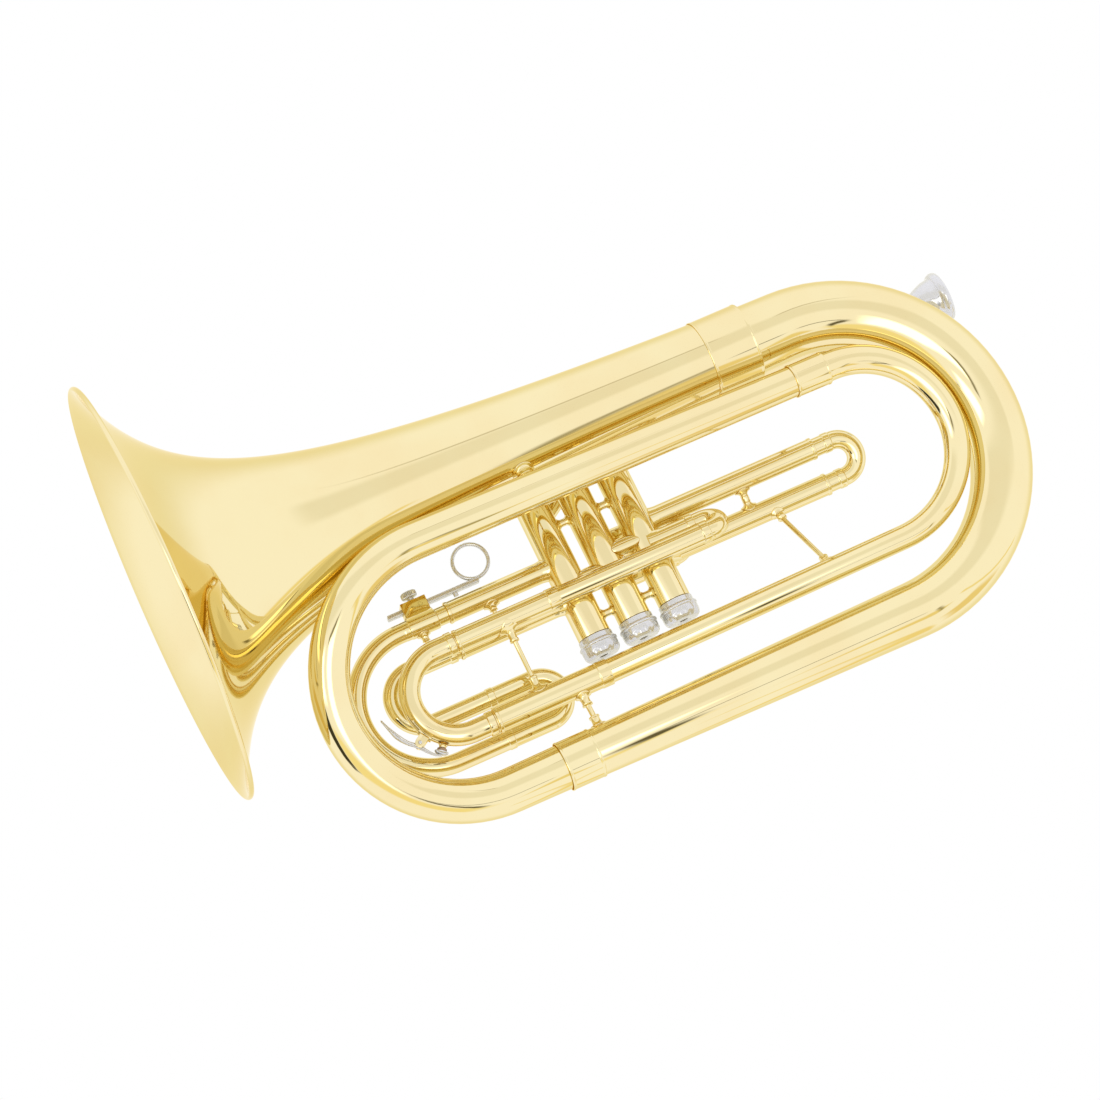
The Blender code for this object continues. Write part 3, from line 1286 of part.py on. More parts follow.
def make_horn():
    horn = new_empty("horn", (0, 0, 0))
    horn.location = -GRIP
    body = horn
    pipes = make_wrap_lines()
    make_bell(body)
    make_wrap(body, pipes)

    main_place = (MAIN_SLIDE_REACH, MAIN_SLIDE_Y, MAIN_SLIDE_TOP_Z)
    main_slide = new_empty("main_slide_axis", main_place, horn)
    slide_pipe = make_main_slide(body, main_slide)
    bend = (MAIN_SLIDE_TOP_Z - MAIN_SLIDE_BOTTOM_Z) / 2
    reach = bend + MAIN_BOW_RADIUS + KEY_PIVOT_HEIGHT
    pivot = (
        MAIN_SLIDE_REACH + bend + reach * math.cos(KEY_PIVOT_ANGLE),
        MAIN_SLIDE_Y,
        MAIN_SLIDE_TOP_Z - bend + reach * math.sin(KEY_PIVOT_ANGLE),
    )
    key = new_empty("water_key_axis", pivot, main_slide)
    make_water_key(main_slide, key, slide_pipe)
    make_outlet(body)

    first_place = (FIRST_SLEEVE_END_X, FIRST_UPPER_Y, FIRST_UPPER_Z)
    first_slide = new_empty("first_slide_axis", first_place, horn)
    make_first_slide(body, first_slide, pipes["inner"])
    second_place = (SECOND_SLEEVE_END_X, SECOND_Y, SECOND_UPPER_Z)
    second_slide = new_empty("second_slide_axis", second_place, horn)
    make_second_slide(body, second_slide)
    third_place = (THIRD_UPPER_SLEEVE_END_X, VALVE_Y, THIRD_UPPER_Z)
    third_slide = new_empty("third_slide_axis", third_place, horn)
    make_third_slide(body, third_slide)
    screw_place = (BLOCK_START_X + BLOCK_LENGTH / 2, VALVE_Y, BLOCK_TOP_Z)
    ring_slide = new_empty("ring_slide_axis", screw_place, third_slide)
    screw_turn = new_empty("thumb_screw_axis", screw_place, third_slide)
    make_finger_ring(third_slide, ring_slide, screw_turn)

    for number in (1, 2, 3):
        make_casing(number, body)
        make_bottom_cap(number, body)
        make_top_cap(number, body)
        valve_place = (VALVE_X[number], VALVE_Y, PISTON_TOP_Z)
        valve = new_empty(f"valve_{number}_axis", valve_place, horn)
        make_piston(number, body, valve)

    leadpipe = make_leadpipe(body)
    mouthpiece = new_empty("mouthpiece_axis", LEADPIPE_START, horn)
    make_mouthpiece(body, mouthpiece, leadpipe)

    bell_x = BELL_BRACE_X
    bell_tube = (Vector((bell_x, 0, 0)), X_AXIS, bell_radius(bell_x - 8 * MM))
    brace("bell_brace", bell_tube, pipes["front"].on_leg(2, bell_x), 3 * MM, 7.5 * MM, body)
    sleeve = (
        Vector((BOTTOM_STAY_X, MAIN_SLIDE_Y, MAIN_SLIDE_BOTTOM_Z)),
        X_AXIS,
        LOWER_SLEEVE_RADIUS,
    )
    foot = pipes["back"].on_leg(2, BOTTOM_STAY_X)
    brace("bottom_stay", sleeve, foot, 1.8 * MM, 4.6 * MM, body)
    brace(
        "leadpipe_brace",
        pipes["back"].on_leg(0, LEADPIPE_BRACE_X),
        leadpipe.on_leg(0, LEADPIPE_BRACE_X),
        1.8 * MM,
        6 * MM,
        body,
    )


clear_scene()
parts = new_collection("marching_horn")
cutters = new_collection("cutters")
empty_place = {}
make_horn()
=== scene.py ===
"""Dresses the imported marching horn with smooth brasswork, finishes and a studio.

Sizes of the horn are millimetres from the bell's rim: x runs from the rim's plane to the player, z up along
the valves and y to the player's right. A piece is moved to the frame's own origin as its mesh is made.
"""

import json
import math

import bmesh
import bpy
import numpy as np
from bpy.props import FloatProperty, FloatVectorProperty, IntProperty, PointerProperty
from mathutils import Matrix, Vector


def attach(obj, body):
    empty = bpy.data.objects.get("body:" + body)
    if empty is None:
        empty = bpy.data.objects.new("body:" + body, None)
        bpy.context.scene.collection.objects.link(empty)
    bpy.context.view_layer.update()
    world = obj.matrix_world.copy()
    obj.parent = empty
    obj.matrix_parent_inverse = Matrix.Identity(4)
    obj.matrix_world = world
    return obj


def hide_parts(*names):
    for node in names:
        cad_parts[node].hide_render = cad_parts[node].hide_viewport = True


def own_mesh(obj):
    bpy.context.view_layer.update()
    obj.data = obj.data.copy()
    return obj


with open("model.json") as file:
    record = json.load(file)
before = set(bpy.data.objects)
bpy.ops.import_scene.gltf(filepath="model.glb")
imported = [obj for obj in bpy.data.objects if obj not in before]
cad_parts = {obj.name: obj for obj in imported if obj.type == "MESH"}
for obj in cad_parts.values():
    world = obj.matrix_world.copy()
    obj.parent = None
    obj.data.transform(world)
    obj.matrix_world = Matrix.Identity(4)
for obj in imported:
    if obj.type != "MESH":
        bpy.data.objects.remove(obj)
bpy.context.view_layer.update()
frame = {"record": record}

bl_info = {
    "name": "Marching Horn Dressing",
    "version": (1, 0, 0),
    "blender": (4, 5, 0),
    "location": "View3D > Sidebar > Horn",
    "description": "Builds the smooth brasswork, finishes and studio around the packed marching horn",
    "category": "Object",
}

MM = 0.001
X_AXIS, Y_AXIS, Z_AXIS = np.eye(3)
GRIP = np.array((275.7, 47.0, -66.0))
BEND_STEP = math.radians(4)
SLIDE_WALL = 0.7
BOW_WALL = 0.8
BAND_RISE = 0.4
POST_FACETS = 40

# Bell
BELL_RIM_RADIUS = 139.9
BELL_STEM_RADIUS = 8.2
BELL_FLARE_REACH = 43.7
BELL_FLARE_POWER = 0.906
BELL_LENGTH = 397.0
BELL_WALL = 0.9
RIM_BEAD_RADIUS = 1.7

# Main wrap, with each bow's radius at its two ends
WRAP_Y = 22.0
WRAP_BOTTOM_Z = -201.0
BACK_START_X = 397.6
BACK_BOW_X = 537.7
BACK_END_X = 199.6
BACK_RADII = (23.4, 15.3)
BOTTOM_JOINT_X = 199.0
FRONT_BOW_X = 68.2
UPPER_JOINT_X = 434.0
FRONT_RADII = (14.8, 10.0)
INNER_BOW_X = 509.0
INNER_END_X = 237.0
INNER_RADII = (9.8, 7.9)

# Valves, numbered from the player's end
VALVE_Y = 47.0
VALVE_X = {1: 304.2, 2: 275.7, 3: 247.2}
CASING_RADIUS = 11.0
CASING_BORE = 9.2
SOLDER_DEPTH = 0.4
CASING_TOP_Z = -7.0
CASING_BOTTOM_Z = -137.0
CAP_BORE = 10.7
CAP_RADIUS = 12.5
PISTON_TOP_Z = -24.0
PISTON_BOTTOM_Z = -106.0
VALVE_STROKE = 16.0
STEM_RADIUS = 2.2
STEM_HOLE = 2.4
FELT_HEIGHT = 2.0

# Slides, with the (y, z, radius) of the outer tubes, upper one first
MAIN_SLIDE_Y = 28.5
MAIN_SLIDE_TOP_Z = -97.6
MAIN_SLIDE_BOTTOM_Z = -155.3
MAIN_SLIDE_REACH = 118.8
MAIN_BOW_RADIUS = 7.1
OUTLET_RADIUS = 6.5
OUTLET_TURN_X = 350.8
OUTLET_LEAVES = (41.5, -86.5)
MAIN_TUBES = ((MAIN_SLIDE_Y, MAIN_SLIDE_TOP_Z, 7.0), (MAIN_SLIDE_Y, MAIN_SLIDE_BOTTOM_Z, 8.4))
FIRST_TUBES = ((49.0, -70.4, 7.1), (57.0, -94.2, 7.1))
SECOND_TUBES = ((71.0, -67.0, 6.8), (71.0, -94.4, 6.8))
THIRD_TUBES = ((VALVE_Y, -74.0, 7.0), (VALVE_Y, -98.7, 7.0))
THIRD_TOP_Z = THIRD_TUBES[0][1]
KNEE_BEND = 10.0

# Leadpipe
LEADPIPE_RADIUS = 5.8
LEADPIPE_BENDS = (24, 10)
RECEIVER_LENGTH = 28.0
RECEIVER_OVERLAP = 7.5
SHANK_IN_RECEIVER = 19.0

# Finger ring and its block, on the third slide
RING_BLOCK_X = (141.5, 159.0)
RING_BLOCK_HALF = 5.2
RING_BLOCK_TOP_Z = -57.6
SCREW_X = 150.25
BAR_X = (131.3, 195.5)
BAR_HALF = 3.0
BAR_Z = (-63.5, -60.4)
BAR_PLAY = 0.3
RING_MIDDLE = np.array((195.8, VALVE_Y, -48.65))
RING_RADIUS = 11.6

# Water key, at angles round the main slide's bow
KEY_ANGLE = 212.6
KEY_PIVOT_HEIGHT = 5.3
CORK_ANGLE = 233.0

BODY_OF = {
    node: body
    for body, nodes in frame["record"]["behaviour"]["bodies"].items()
    for node in nodes
}
SLOT_OF = {part["node"]: part["material_slot"] for part in frame["record"]["subparts"]}


# Vectors and outlines


def unit(vector):
    vector = np.asarray(vector, float)
    return vector / np.linalg.norm(vector, axis=-1, keepdims=True)


def full_turn(count):
    """Angles from 0, evenly spaced all the way round."""
    return np.linspace(0, 2 * np.pi, count, endpoint=False)


def rectangle(left, right, low, high):
    return [(left, low), (right, low), (right, high), (left, high)]


def softened(outline, size=0.3, steps=3, closed=True):
    """Rounds each corner with the curve (1 - t)^2 a + 2 t (1 - t) corner + t^2 b.

    The points a and b lie `size` from the corner on its two sides.
    """
    corner = np.asarray(outline, float)
    rounded = []
    for other in (np.roll(corner, 1, 0), np.roll(corner, -1, 0)):
        gap = np.maximum(np.linalg.norm(other - corner, axis=1, keepdims=True), 1e-9)
        rounded.append(corner + (other - corner) * np.minimum(size / gap, 0.42))
    t = np.linspace(0, 1, steps + 1)[None, :, None]
    before, after = rounded[0][:, None], rounded[1][:, None]
    curve = (1 - t) ** 2 * before + 2 * t * (1 - t) * corner[:, None] + t**2 * after
    if closed:
        return curve.reshape(-1, corner.shape[1])
    return np.vstack([corner[:1], curve[1:-1].reshape(-1, corner.shape[1]), corner[-1:]])


def curve_through(knots, steps):
    """A smooth curve through points: cubics whose slope is half the gap between a point's neighbours."""
    knots = np.asarray(knots, float)
    padded = np.vstack([2 * knots[0] - knots[1], knots, 2 * knots[-1] - knots[-2]])[:, None]
    a, b, c, d = padded[:-3], padded[1:-2], padded[2:-1], padded[3:]
    t = np.linspace(0, 1, steps, endpoint=False)[None, :, None]
    curve = 0.5 * (2 * b + (c - a) * t + (2 * a - 5 * b + 4 * c - d) * t**2 + (3 * b - a - 3 * c + d) * t**3)
    return np.vstack([curve.reshape(-1, knots.shape[1]), knots[-1:]])


def hump(t, middle, width):
    """exp(-((t - middle) / width)^2)."""
    return np.exp(-(((t - middle) / width) ** 2))


def corner_turn(before, corner, after):
    """The angle by which a line turns at a corner."""
    return math.pi - math.acos(unit(np.subtract(before, corner)) @ unit(np.subtract(after, corner)))


def passing(start, end, x):
    """Where the line through two points passes this x, and the line's direction."""
    way = unit(np.subtract(end, start))
    return start + way * (x - start[0]) / way[0], way


class Route:
    """A tube's centre line: straight legs joined by arcs, with a direction that rings are measured from."""

    def __init__(self, corners, bends=(), facing=Y_AXIS):
        corners = np.array(corners, float)
        points = [corners[:1]]
        for before, corner, after, bend in zip(corners, corners[1:], corners[2:], bends):
            back, on = unit(before - corner), unit(after - corner)
            turn = corner_turn(before, corner, after)
            start = corner + back * bend * math.tan(turn / 2)
            centre = corner + unit(back + on) * bend / math.cos(turn / 2)
            angle = np.linspace(0, turn, max(3, math.ceil(turn / BEND_STEP) + 1))[:, None]
            points.append(centre + bend * (unit(start - centre) * np.cos(angle) - back * np.sin(angle)))
        points.append(corners[1 + len(bends) :])
        points = np.vstack(points)
        apart = np.linalg.norm(np.diff(points, axis=0), axis=1) > 0.01
        self.points = points[np.concatenate([[True], apart])]
        self.facing = unit(facing)
        steps = np.linalg.norm(np.diff(self.points, axis=0), axis=1)
        self.along = np.concatenate([[0], np.cumsum(steps)])
        self.length = self.along[-1]
        if len(self.points) > 2:
            self.heading = unit(np.gradient(self.points, self.along, axis=0))
        else:
            self.heading = np.repeat(unit(self.points[1:] - self.points[:1]), 2, axis=0)

    def place(self, distance):
        """(centre, across, up) at distances along the line."""
        centre, heading = (
            np.stack([np.interp(distance, self.along, axis) for axis in values.T], axis=-1)
            for values in (self.points, self.heading)
        )
        heading = unit(heading)
        across = unit(np.cross(heading, self.facing))
        return centre, across, np.cross(across, heading)

    def follow(self, profile):
        """The profile of (distance, radius) with a point added wherever the line bends."""
        rows = [profile[:1]]
        for start, end in zip(profile, profile[1:]):
            low, high = sorted((start[0], end[0]))
            between = self.along[(self.along > low + 0.05) & (self.along < high - 0.05)]
            if end[0] < start[0]:
                between = between[::-1]
            share = ((between - start[0]) / (end[0] - start[0]))[:, None]
            rows += [start + share * (end - start), end[None]]
        return np.vstack(rows)


def bow_route(corners, facing=Y_AXIS):
    """A line whose corners are taken in fours, with two equal bends that fill the leg between them.

    The bend's radius is the length of that leg over the sum of tan(turn / 2).
    """
    bends = []
    for first in range(0, len(corners) - 2, 2):
        before, start, end, after = corners[first : first + 4]
        reach = math.tan(corner_turn(before, start, end) / 2) + math.tan(corner_turn(start, end, after) / 2)
        bends += [np.linalg.norm(np.subtract(end, start)) / reach] * 2
    return Route(corners, bends, facing)


# Surfaces, each (points, faces)


def grid_faces(rows, columns, closed):
    """Quads over a grid whose columns wrap round, and whose rows do too where it is closed."""
    row = np.arange(rows if closed else rows - 1)[:, None]
    column = np.arange(columns)[None, :]
    below, beside = (row + 1) % rows, (column + 1) % columns
    row, below = row * columns, below * columns
    return np.stack([row + column, row + beside, below + beside, below + column], axis=-1).reshape(-1, 4)


def capped(rings):
    """Rings of points, closed by a ring drawn together at the middle of each end."""
    ends = rings[[0, -1]].mean(1, keepdims=True) + np.zeros_like(rings[:2])
    rings = np.concatenate([ends[:1], rings, ends[1:]])
    return rings.reshape(-1, 3), grid_faces(*rings.shape[:2], False)


def height_on(base, direction, post):
    """How far along a direction each base point meets a round post.

    It is the larger root of |across + height * slope| = radius.
    """
    centre, axis, radius = post
    away = base - centre
    away = away - (away @ axis)[..., None] * axis
    slope = direction - (direction @ axis) * axis
    square = slope @ slope
    half = away @ slope
    rest = (away**2).sum(-1) - radius**2
    return (-half + np.sqrt(np.maximum(half**2 - square * rest, 0))) / square


def swept(line, profile, sides, closed=True, ripple=(0, 0), joins=()):
    """Rings along a line: centre + radius * (cos a * across + sin a * up), for each (distance, radius).

    A third column of the profile is how much of `ripple`, (count, depth), its ring has. A join is ("start" or
    "end", post, reach): within `reach` of that end, the rings close up to end on the post's surface.
    """
    profile = line.follow(np.asarray(profile, float))
    distance = profile[:, 0]
    radius = np.repeat(profile[:, 1:2], sides, axis=1)
    angle = full_turn(sides)
    if profile.shape[1] > 2:
        wave = 0.5 - 0.5 * np.cos(ripple[0] * angle)
        radius = radius - profile[:, 2:3] * ripple[1] * wave
    centre, across, up = line.place(distance)
    ring = np.cos(angle)[None, :, None] * across[:, None] + np.sin(angle)[None, :, None] * up[:, None]
    points = centre[:, None] + radius[..., None] * ring
    for end, post, reach in joins:
        index = 0 if end == "start" else -1
        gap = distance if end == "start" else line.length - distance
        inward = line.heading[index] * (1 if end == "start" else -1)
        base = points - (centre - line.points[index])[:, None]
        share = np.clip(1 - gap / reach, 0, 1)[:, None, None]
        points = points + share * height_on(base, inward, post)[..., None] * inward
    return points.reshape(-1, 3), grid_faces(len(profile), sides, closed)


def turned(place, axis, profile, sides, closed=True, soft=0.3, ripple=(0, 0)):
    """A profile of (radius, height) turned about an axis: rings of that radius at that height."""
    profile = np.array(profile, float)
    profile[:, :2] = profile[:, 1::-1].copy()
    if soft:
        profile = softened(profile, soft, closed=closed)
    axis = unit(axis)
    reach = 1000.0
    facing = X_AXIS if abs(axis[0]) < 0.9 else Y_AXIS
    line = Route([place - axis * reach, place + axis * reach], facing=facing)
    line.along = np.array([-reach, reach])
    return swept(line, profile, sides, closed, ripple)


def shell(line, stops, wall=SLIDE_WALL, sides=None, soft=0.3, joins=()):
    """A tube's outer stops of (distance, radius), with a bore that runs straight back from end to end."""
    (first, near), (last, far) = stops[0], stops[-1]
    thin = min(radius for _, radius in stops)
    outline = stops + [(last, min(far, thin + 0.2) - wall), (first, min(near, thin + 0.2) - wall)]
    return swept(line, softened(outline, soft), sides or detail().tube_facets, joins=joins)


def cone(line, radii):
    """A bow that tapers evenly from one outer radius to the other, with an even wall."""
    start, end = radii
    outline = [(0, start), (line.length, end), (line.length, end - BOW_WALL), (0, start - BOW_WALL)]
    return swept(line, softened(outline, 0.2), detail().bow_facets)


def between(first, second, profile, shift=(0, 0, 0)):
    """A turned shape from one round tube to another, each (centre, axis, radius), or `shift` beside them.

    A profile point (r, s) lies s from the first tube's surface, or as far short of the second's: with t going
    from 0 to 1 over the middle third, its height is (1 - t) * first + t * second + s - t * length.
    """
    profile = np.asarray(profile, float)
    line = second[0] - first[0]
    span = np.linalg.norm(line)
    line = line / span
    across = unit(first[1] - (first[1] @ line) * line)
    up = np.cross(line, across)
    angle = full_turn(POST_FACETS)
    ring = np.cos(angle)[:, None] * across + np.sin(angle)[:, None] * up
    offset = profile[:, 0][:, None, None] * ring + np.asarray(shift, float)
    low = height_on(first[0] + offset, line, first)
    high = span - height_on(second[0] + offset, -line, second)
    length = gap_between(first, second)
    share = np.clip((profile[:, 1] / length - 0.35) / 0.3, 0, 1)[:, None]
    height = (1 - share) * low + share * high + profile[:, 1:2] - share * length
    points = first[0] + offset + height[..., None] * line
    return points.reshape(-1, 3), grid_faces(len(profile), POST_FACETS, False)


def gap_between(first, second):
    return np.linalg.norm(second[0] - first[0]) - first[2] - second[2]


def brace(first, second, rod, foot, collar, bead=0.0):
    """A post with a saddle, a collar and a ring at each end, and a bead at its middle where it has one."""
    length = gap_between(first, second)
    neck = rod * 1.65
    shoulder = foot * 0.78
    half = np.array([
        (0, 0.1), (foot, 0.1), (foot, 0.75), (shoulder, 1.05), (neck + (shoulder - neck) * 0.3, 1.7),
        (neck, 2.9), (neck, 2.9 + collar * 0.55), (neck * 1.18, 3.1 + collar * 0.55),
        (neck * 1.18, 3.1 + collar * 0.8), (rod, 3.4 + collar * 0.8),
    ])
    most = length * 0.42
    if half[-1, 1] > most:
        half[:, 1] = most * half[:, 1] / half[-1, 1]
    middle = np.empty((0, 2))
    if bead:
        height = np.linspace(-bead * 1.7, bead * 1.7, 15)
        swell = rod + (bead - rod) * np.cos(height / (bead * 1.7) * np.pi / 2) ** 1.4
        middle = np.stack([swell, length / 2 + height], axis=1)
    back = half[::-1] * (1, -1) + (0, length)
    return between(first, second, softened(np.vstack([half, middle, back]), 0.35, 2, closed=False))


def block(low, high, soft):
    """A block with rounded edges, from end to end along x.

    Near each end its rounded outline is drawn in by soft * (1 - sin a), at soft * (1 - cos a) from the end.
    """
    low, high = np.array(low, float), np.array(high, float)
    centre, half = (low + high) / 2, (high - low) / 2
    outline = softened(np.array(rectangle(-1, 1, -1, 1)) * half[1:], soft, 4)
    turn = np.linspace(0, np.pi / 2, 5)[:, None]
    along = soft * (1 - np.cos(turn)) - half[0]
    along = np.vstack([along[:1], along, -along[::-1], -along[:1]])
    scale = (half[1:] - soft * (1 - np.sin(turn))) / half[1:]
    scale = np.vstack([(0, 0), scale, scale[::-1], (0, 0)])
    flat = outline * scale[:, None]
    points = np.concatenate([np.repeat(along[:, None], len(outline), 1), flat], axis=2) + centre
    return points.reshape(-1, 3), grid_faces(len(along), len(outline), False)


def plate(outline, place, along, up, thickness):
    """A flat outline of (along, up) points given a thickness, with its loop drawn in at the edges."""
    soft = 0.25
    middle = outline.mean(0)
    size = np.linalg.norm(outline - middle, axis=1, keepdims=True)
    half = thickness / 2
    edge = [(-half, size), (-half, soft), (-half + soft * 0.3, soft * 0.3), (-half + soft, 0)]
    rows = []
    for level, inset in edge + [(-level, inset) for level, inset in edge[::-1]]:
        flat = middle + (outline - middle) * ((size - inset) / size)
        rows.append(place + flat[:, :1] * along + flat[:, 1:] * up + level * np.cross(along, up))
    return np.vstack(rows), grid_faces(len(rows), len(outline), False)


def reach_outline(angle, outline, centre):
    """How far each direction from the centre meets a closed outline: the nearest crossing of its sides."""
    start = outline - centre
    side = np.roll(start, -1, 0) - start
    way = np.stack([np.cos(angle), np.sin(angle)], axis=1)[:, None]
    cross = way[..., 0] * side[None, :, 1] - way[..., 1] * side[None, :, 0]
    cross = np.where(np.abs(cross) < 1e-9, 1e-9, cross)
    reach = (start[:, 0] * side[:, 1] - start[:, 1] * side[:, 0])[None] / cross
    share = (start[None, :, 0] * way[..., 1] - start[None, :, 1] * way[..., 0]) / cross
    hit = (reach > 0) & (share > -1e-6) & (share < 1 + 1e-6)
    return np.where(hit, reach, 1e9).min(axis=1)


# Pieces


def add_piece(node, *surfaces, sharp=38.0):
    """A closed mesh of these surfaces, which rides on the node's body and stands for the node."""
    slot = SLOT_OF[node]
    points = np.vstack([surface[0] for surface in surfaces])
    starts = np.cumsum([0] + [len(surface[0]) for surface in surfaces[:-1]])
    faces = np.vstack([surface[1] + start for surface, start in zip(surfaces, starts)])
    mesh = bpy.data.meshes.new(node + "_skin")
    mesh.from_pydata(((points - GRIP) * MM).tolist(), [], faces.tolist())
    shape = bmesh.new()
    shape.from_mesh(mesh)
    bmesh.ops.remove_doubles(shape, verts=shape.verts, dist=2e-7)
    bmesh.ops.recalc_face_normals(shape, faces=shape.faces)
    shape.to_mesh(mesh)
    shape.free()
    mesh.shade_smooth()
    mesh.set_sharp_from_angle(angle=math.radians(sharp))
    mesh.materials.append(bpy.data.materials[FINISHES[slot]])
    piece = bpy.data.objects.new(node + "_skin", mesh)
    bpy.context.scene.collection.objects.link(piece)
    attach(piece, BODY_OF[node])
    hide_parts(node)
    return piece


# Lines that more than one piece follows


def u_turn(tubes, upper_x, turn_x, lower_x):
    """Corners of a line that comes along the upper tube, turns at turn_x and goes back along the lower."""
    (upper_y, upper_z, _), (lower_y, lower_z, _) = tubes
    return [
        (upper_x, upper_y, upper_z), (turn_x, upper_y, upper_z), (turn_x, lower_y, lower_z),
        (lower_x, lower_y, lower_z),
    ]


BACK_LINE = bow_route([
    (BACK_START_X, 0, 0), (BACK_BOW_X, 0, 0), (BACK_BOW_X, WRAP_Y, WRAP_BOTTOM_Z),
    (BACK_END_X, WRAP_Y, WRAP_BOTTOM_Z),
])
FRONT_CORNERS = np.array([
    (BOTTOM_JOINT_X, WRAP_Y, WRAP_BOTTOM_Z), (FRONT_BOW_X, WRAP_Y, WRAP_BOTTOM_Z), (FRONT_BOW_X, -43, -44),
    (UPPER_JOINT_X, -18, -41.3),
])
FRONT_LINE = bow_route(FRONT_CORNERS)
INNER_TOP, TOP_RUN = passing(FRONT_CORNERS[2], FRONT_CORNERS[3], INNER_BOW_X)
INNER_LOW = (INNER_BOW_X, 8, -157)
INNER_END = (INNER_END_X, MAIN_SLIDE_Y, MAIN_SLIDE_BOTTOM_Z)
INNER_LINE = bow_route([FRONT_CORNERS[3] + TOP_RUN * 0.6, INNER_TOP, INNER_LOW, INNER_END])
LEADPIPE_CORNERS = np.array([
    (493, 63.6, -9.3), (290, 68, -15), (VALVE_X[3], 68, -42), (VALVE_X[3], VALVE_Y, -42),
])
LEADPIPE_OUT = unit(LEADPIPE_CORNERS[0] - LEADPIPE_CORNERS[1])
MAIN_SLIDE_LINE = bow_route(u_turn(MAIN_TUBES, 223.5, MAIN_SLIDE_REACH, 225))


def bell_radius(x):
    """stem + flare * (1 + x / reach) ** -power, with x from the rim's plane."""
    flare = BELL_RIM_RADIUS - BELL_STEM_RADIUS
    return BELL_STEM_RADIUS + flare * (1 + x / BELL_FLARE_REACH) ** -BELL_FLARE_POWER


def radius_at(distance, line, radii):
    start, end = radii
    return start + (end - start) * distance / line.length


def round_post(x, y, z, radius, axis=X_AXIS):
    """A round post or tube as (centre, axis, radius)."""
    return np.array((x, y, z), float), unit(axis), radius


def posts_at(x, tubes):
    return [round_post(x, *tube) for tube in tubes]


def front_top(x):
    """The front bow's upper leg where it passes this x."""
    distance = FRONT_LINE.length - (UPPER_JOINT_X - x) / TOP_RUN[0]
    centre = passing(FRONT_CORNERS[2], FRONT_CORNERS[3], x)[0]
    return centre, TOP_RUN, radius_at(distance, FRONT_LINE, FRONT_RADII)


def back_leg(x, top):
    """The back bow's upper or lower straight leg where it passes this x."""
    distance = x - BACK_START_X if top else BACK_LINE.length - (x - BACK_END_X)
    place = (0, 0) if top else (WRAP_Y, WRAP_BOTTOM_Z)
    return round_post(x, *place, radius_at(distance, BACK_LINE, BACK_RADII))


def casing_post(number):
    """The cylinder inside a casing's wall on which the tubes that join it end."""
    return round_post(VALVE_X[number], VALVE_Y, 0, CASING_RADIUS - SOLDER_DEPTH, Z_AXIS)


def on_valve(number, z, profile, sides, **more):
    """A profile of (radius, height) turned about a valve's axis, from this z up."""
    return turned((VALVE_X[number], VALVE_Y, z), Z_AXIS, profile, sides, **more)


def on_main_bow(degrees, height, lean=0.0):
    """A point `height` over the main slide's bow, at an angle round the bow and, as lean, one round its tube.

    With radius = tube + height, it is centre + ((half + radius cos lean) cos a, radius sin lean,
    (half + radius cos lean) sin a).
    """
    half = (MAIN_SLIDE_TOP_Z - MAIN_SLIDE_BOTTOM_Z) / 2
    turn, lean = np.radians(degrees), np.radians(lean)
    radius = MAIN_BOW_RADIUS + height
    reach = half + radius * np.cos(lean)
    parts = np.broadcast_arrays(reach * np.cos(turn), radius * np.sin(lean), reach * np.sin(turn))
    return np.stack(parts, axis=-1) + (MAIN_SLIDE_REACH + half, MAIN_SLIDE_Y, MAIN_SLIDE_TOP_Z - half)


def band_stops(start, end, radius, raised, slope=0.5, after=None):
    """A ring round a tube as stops: up from its radius over `slope`, and down again to what comes after."""
    return [(start, radius), (start + slope, raised), (end - slope, raised), (end, after or radius)]


# Finishes

FINISHES = {
    "lacquered_brass": "polished_lacquered_brass",
    "silver_plate": "bright_silver_plate",
    "spring_steel": "drawn_spring_steel",
    "felt": "pressed_wool_felt",
    "cork": "natural_cork",
}


class NodeBench:
    """Adds nodes to a tree and joins them."""

    def __init__(self, tree):
        self.tree = tree
        tree.nodes.clear()

    def feed(self, node, **inputs):
        """Joins or sets a node's inputs, by name or by number as i0, i1 and so on."""
        for name, value in inputs.items():
            socket = node.inputs[int(name[1:]) if name[1:].isdigit() else name.replace("_", " ")]
            if isinstance(value, bpy.types.NodeSocket):
                self.tree.links.new(value, socket)
            else:
                socket.default_value = value
        return node

    def add(self, kind, settings=None, **inputs):
        node = self.tree.nodes.new(kind)
        for name, value in (settings or {}).items():
            setattr(node, name, value)
        return self.feed(node, **inputs)

    def math(self, operation, *values):
        inputs = {f"i{index}": value for index, value in enumerate(values)}
        return self.add("ShaderNodeMath", {"operation": operation}, **inputs).outputs[0]

    def noise(self, vector, scale, detail, roughness):
        inputs = {"Vector": vector, "Scale": scale, "Detail": detail, "Roughness": roughness}
        return self.add("ShaderNodeTexNoise", **inputs).outputs["Fac"]

    def mapped(self, value, low, high, to_low=0.0, to_high=1.0):
        inputs = {"Value": value, "From_Min": low, "From_Max": high, "To_Min": to_low, "To_Max": to_high}
        return self.add("ShaderNodeMapRange", {"interpolation_type": "SMOOTHSTEP"}, **inputs).outputs[0]

    def mixed(self, factor, first, second):
        return self.add("ShaderNodeMix", {"data_type": "RGBA"}, i0=factor, i6=first, i7=second).outputs[2]


def new_group(name, inputs, outputs):
    tree = bpy.data.node_groups.new(name, "ShaderNodeTree")
    bench = NodeBench(tree)
    for labels, way in ((inputs, "INPUT"), (outputs, "OUTPUT")):
        for label in labels:
            tree.interface.new_socket(name=label, in_out=way, socket_type="NodeSocketFloat")
    place = bench.add("ShaderNodeTexCoord").outputs["Object"]
    return bench, bench.add("NodeGroupInput").outputs, bench.add("NodeGroupOutput"), place


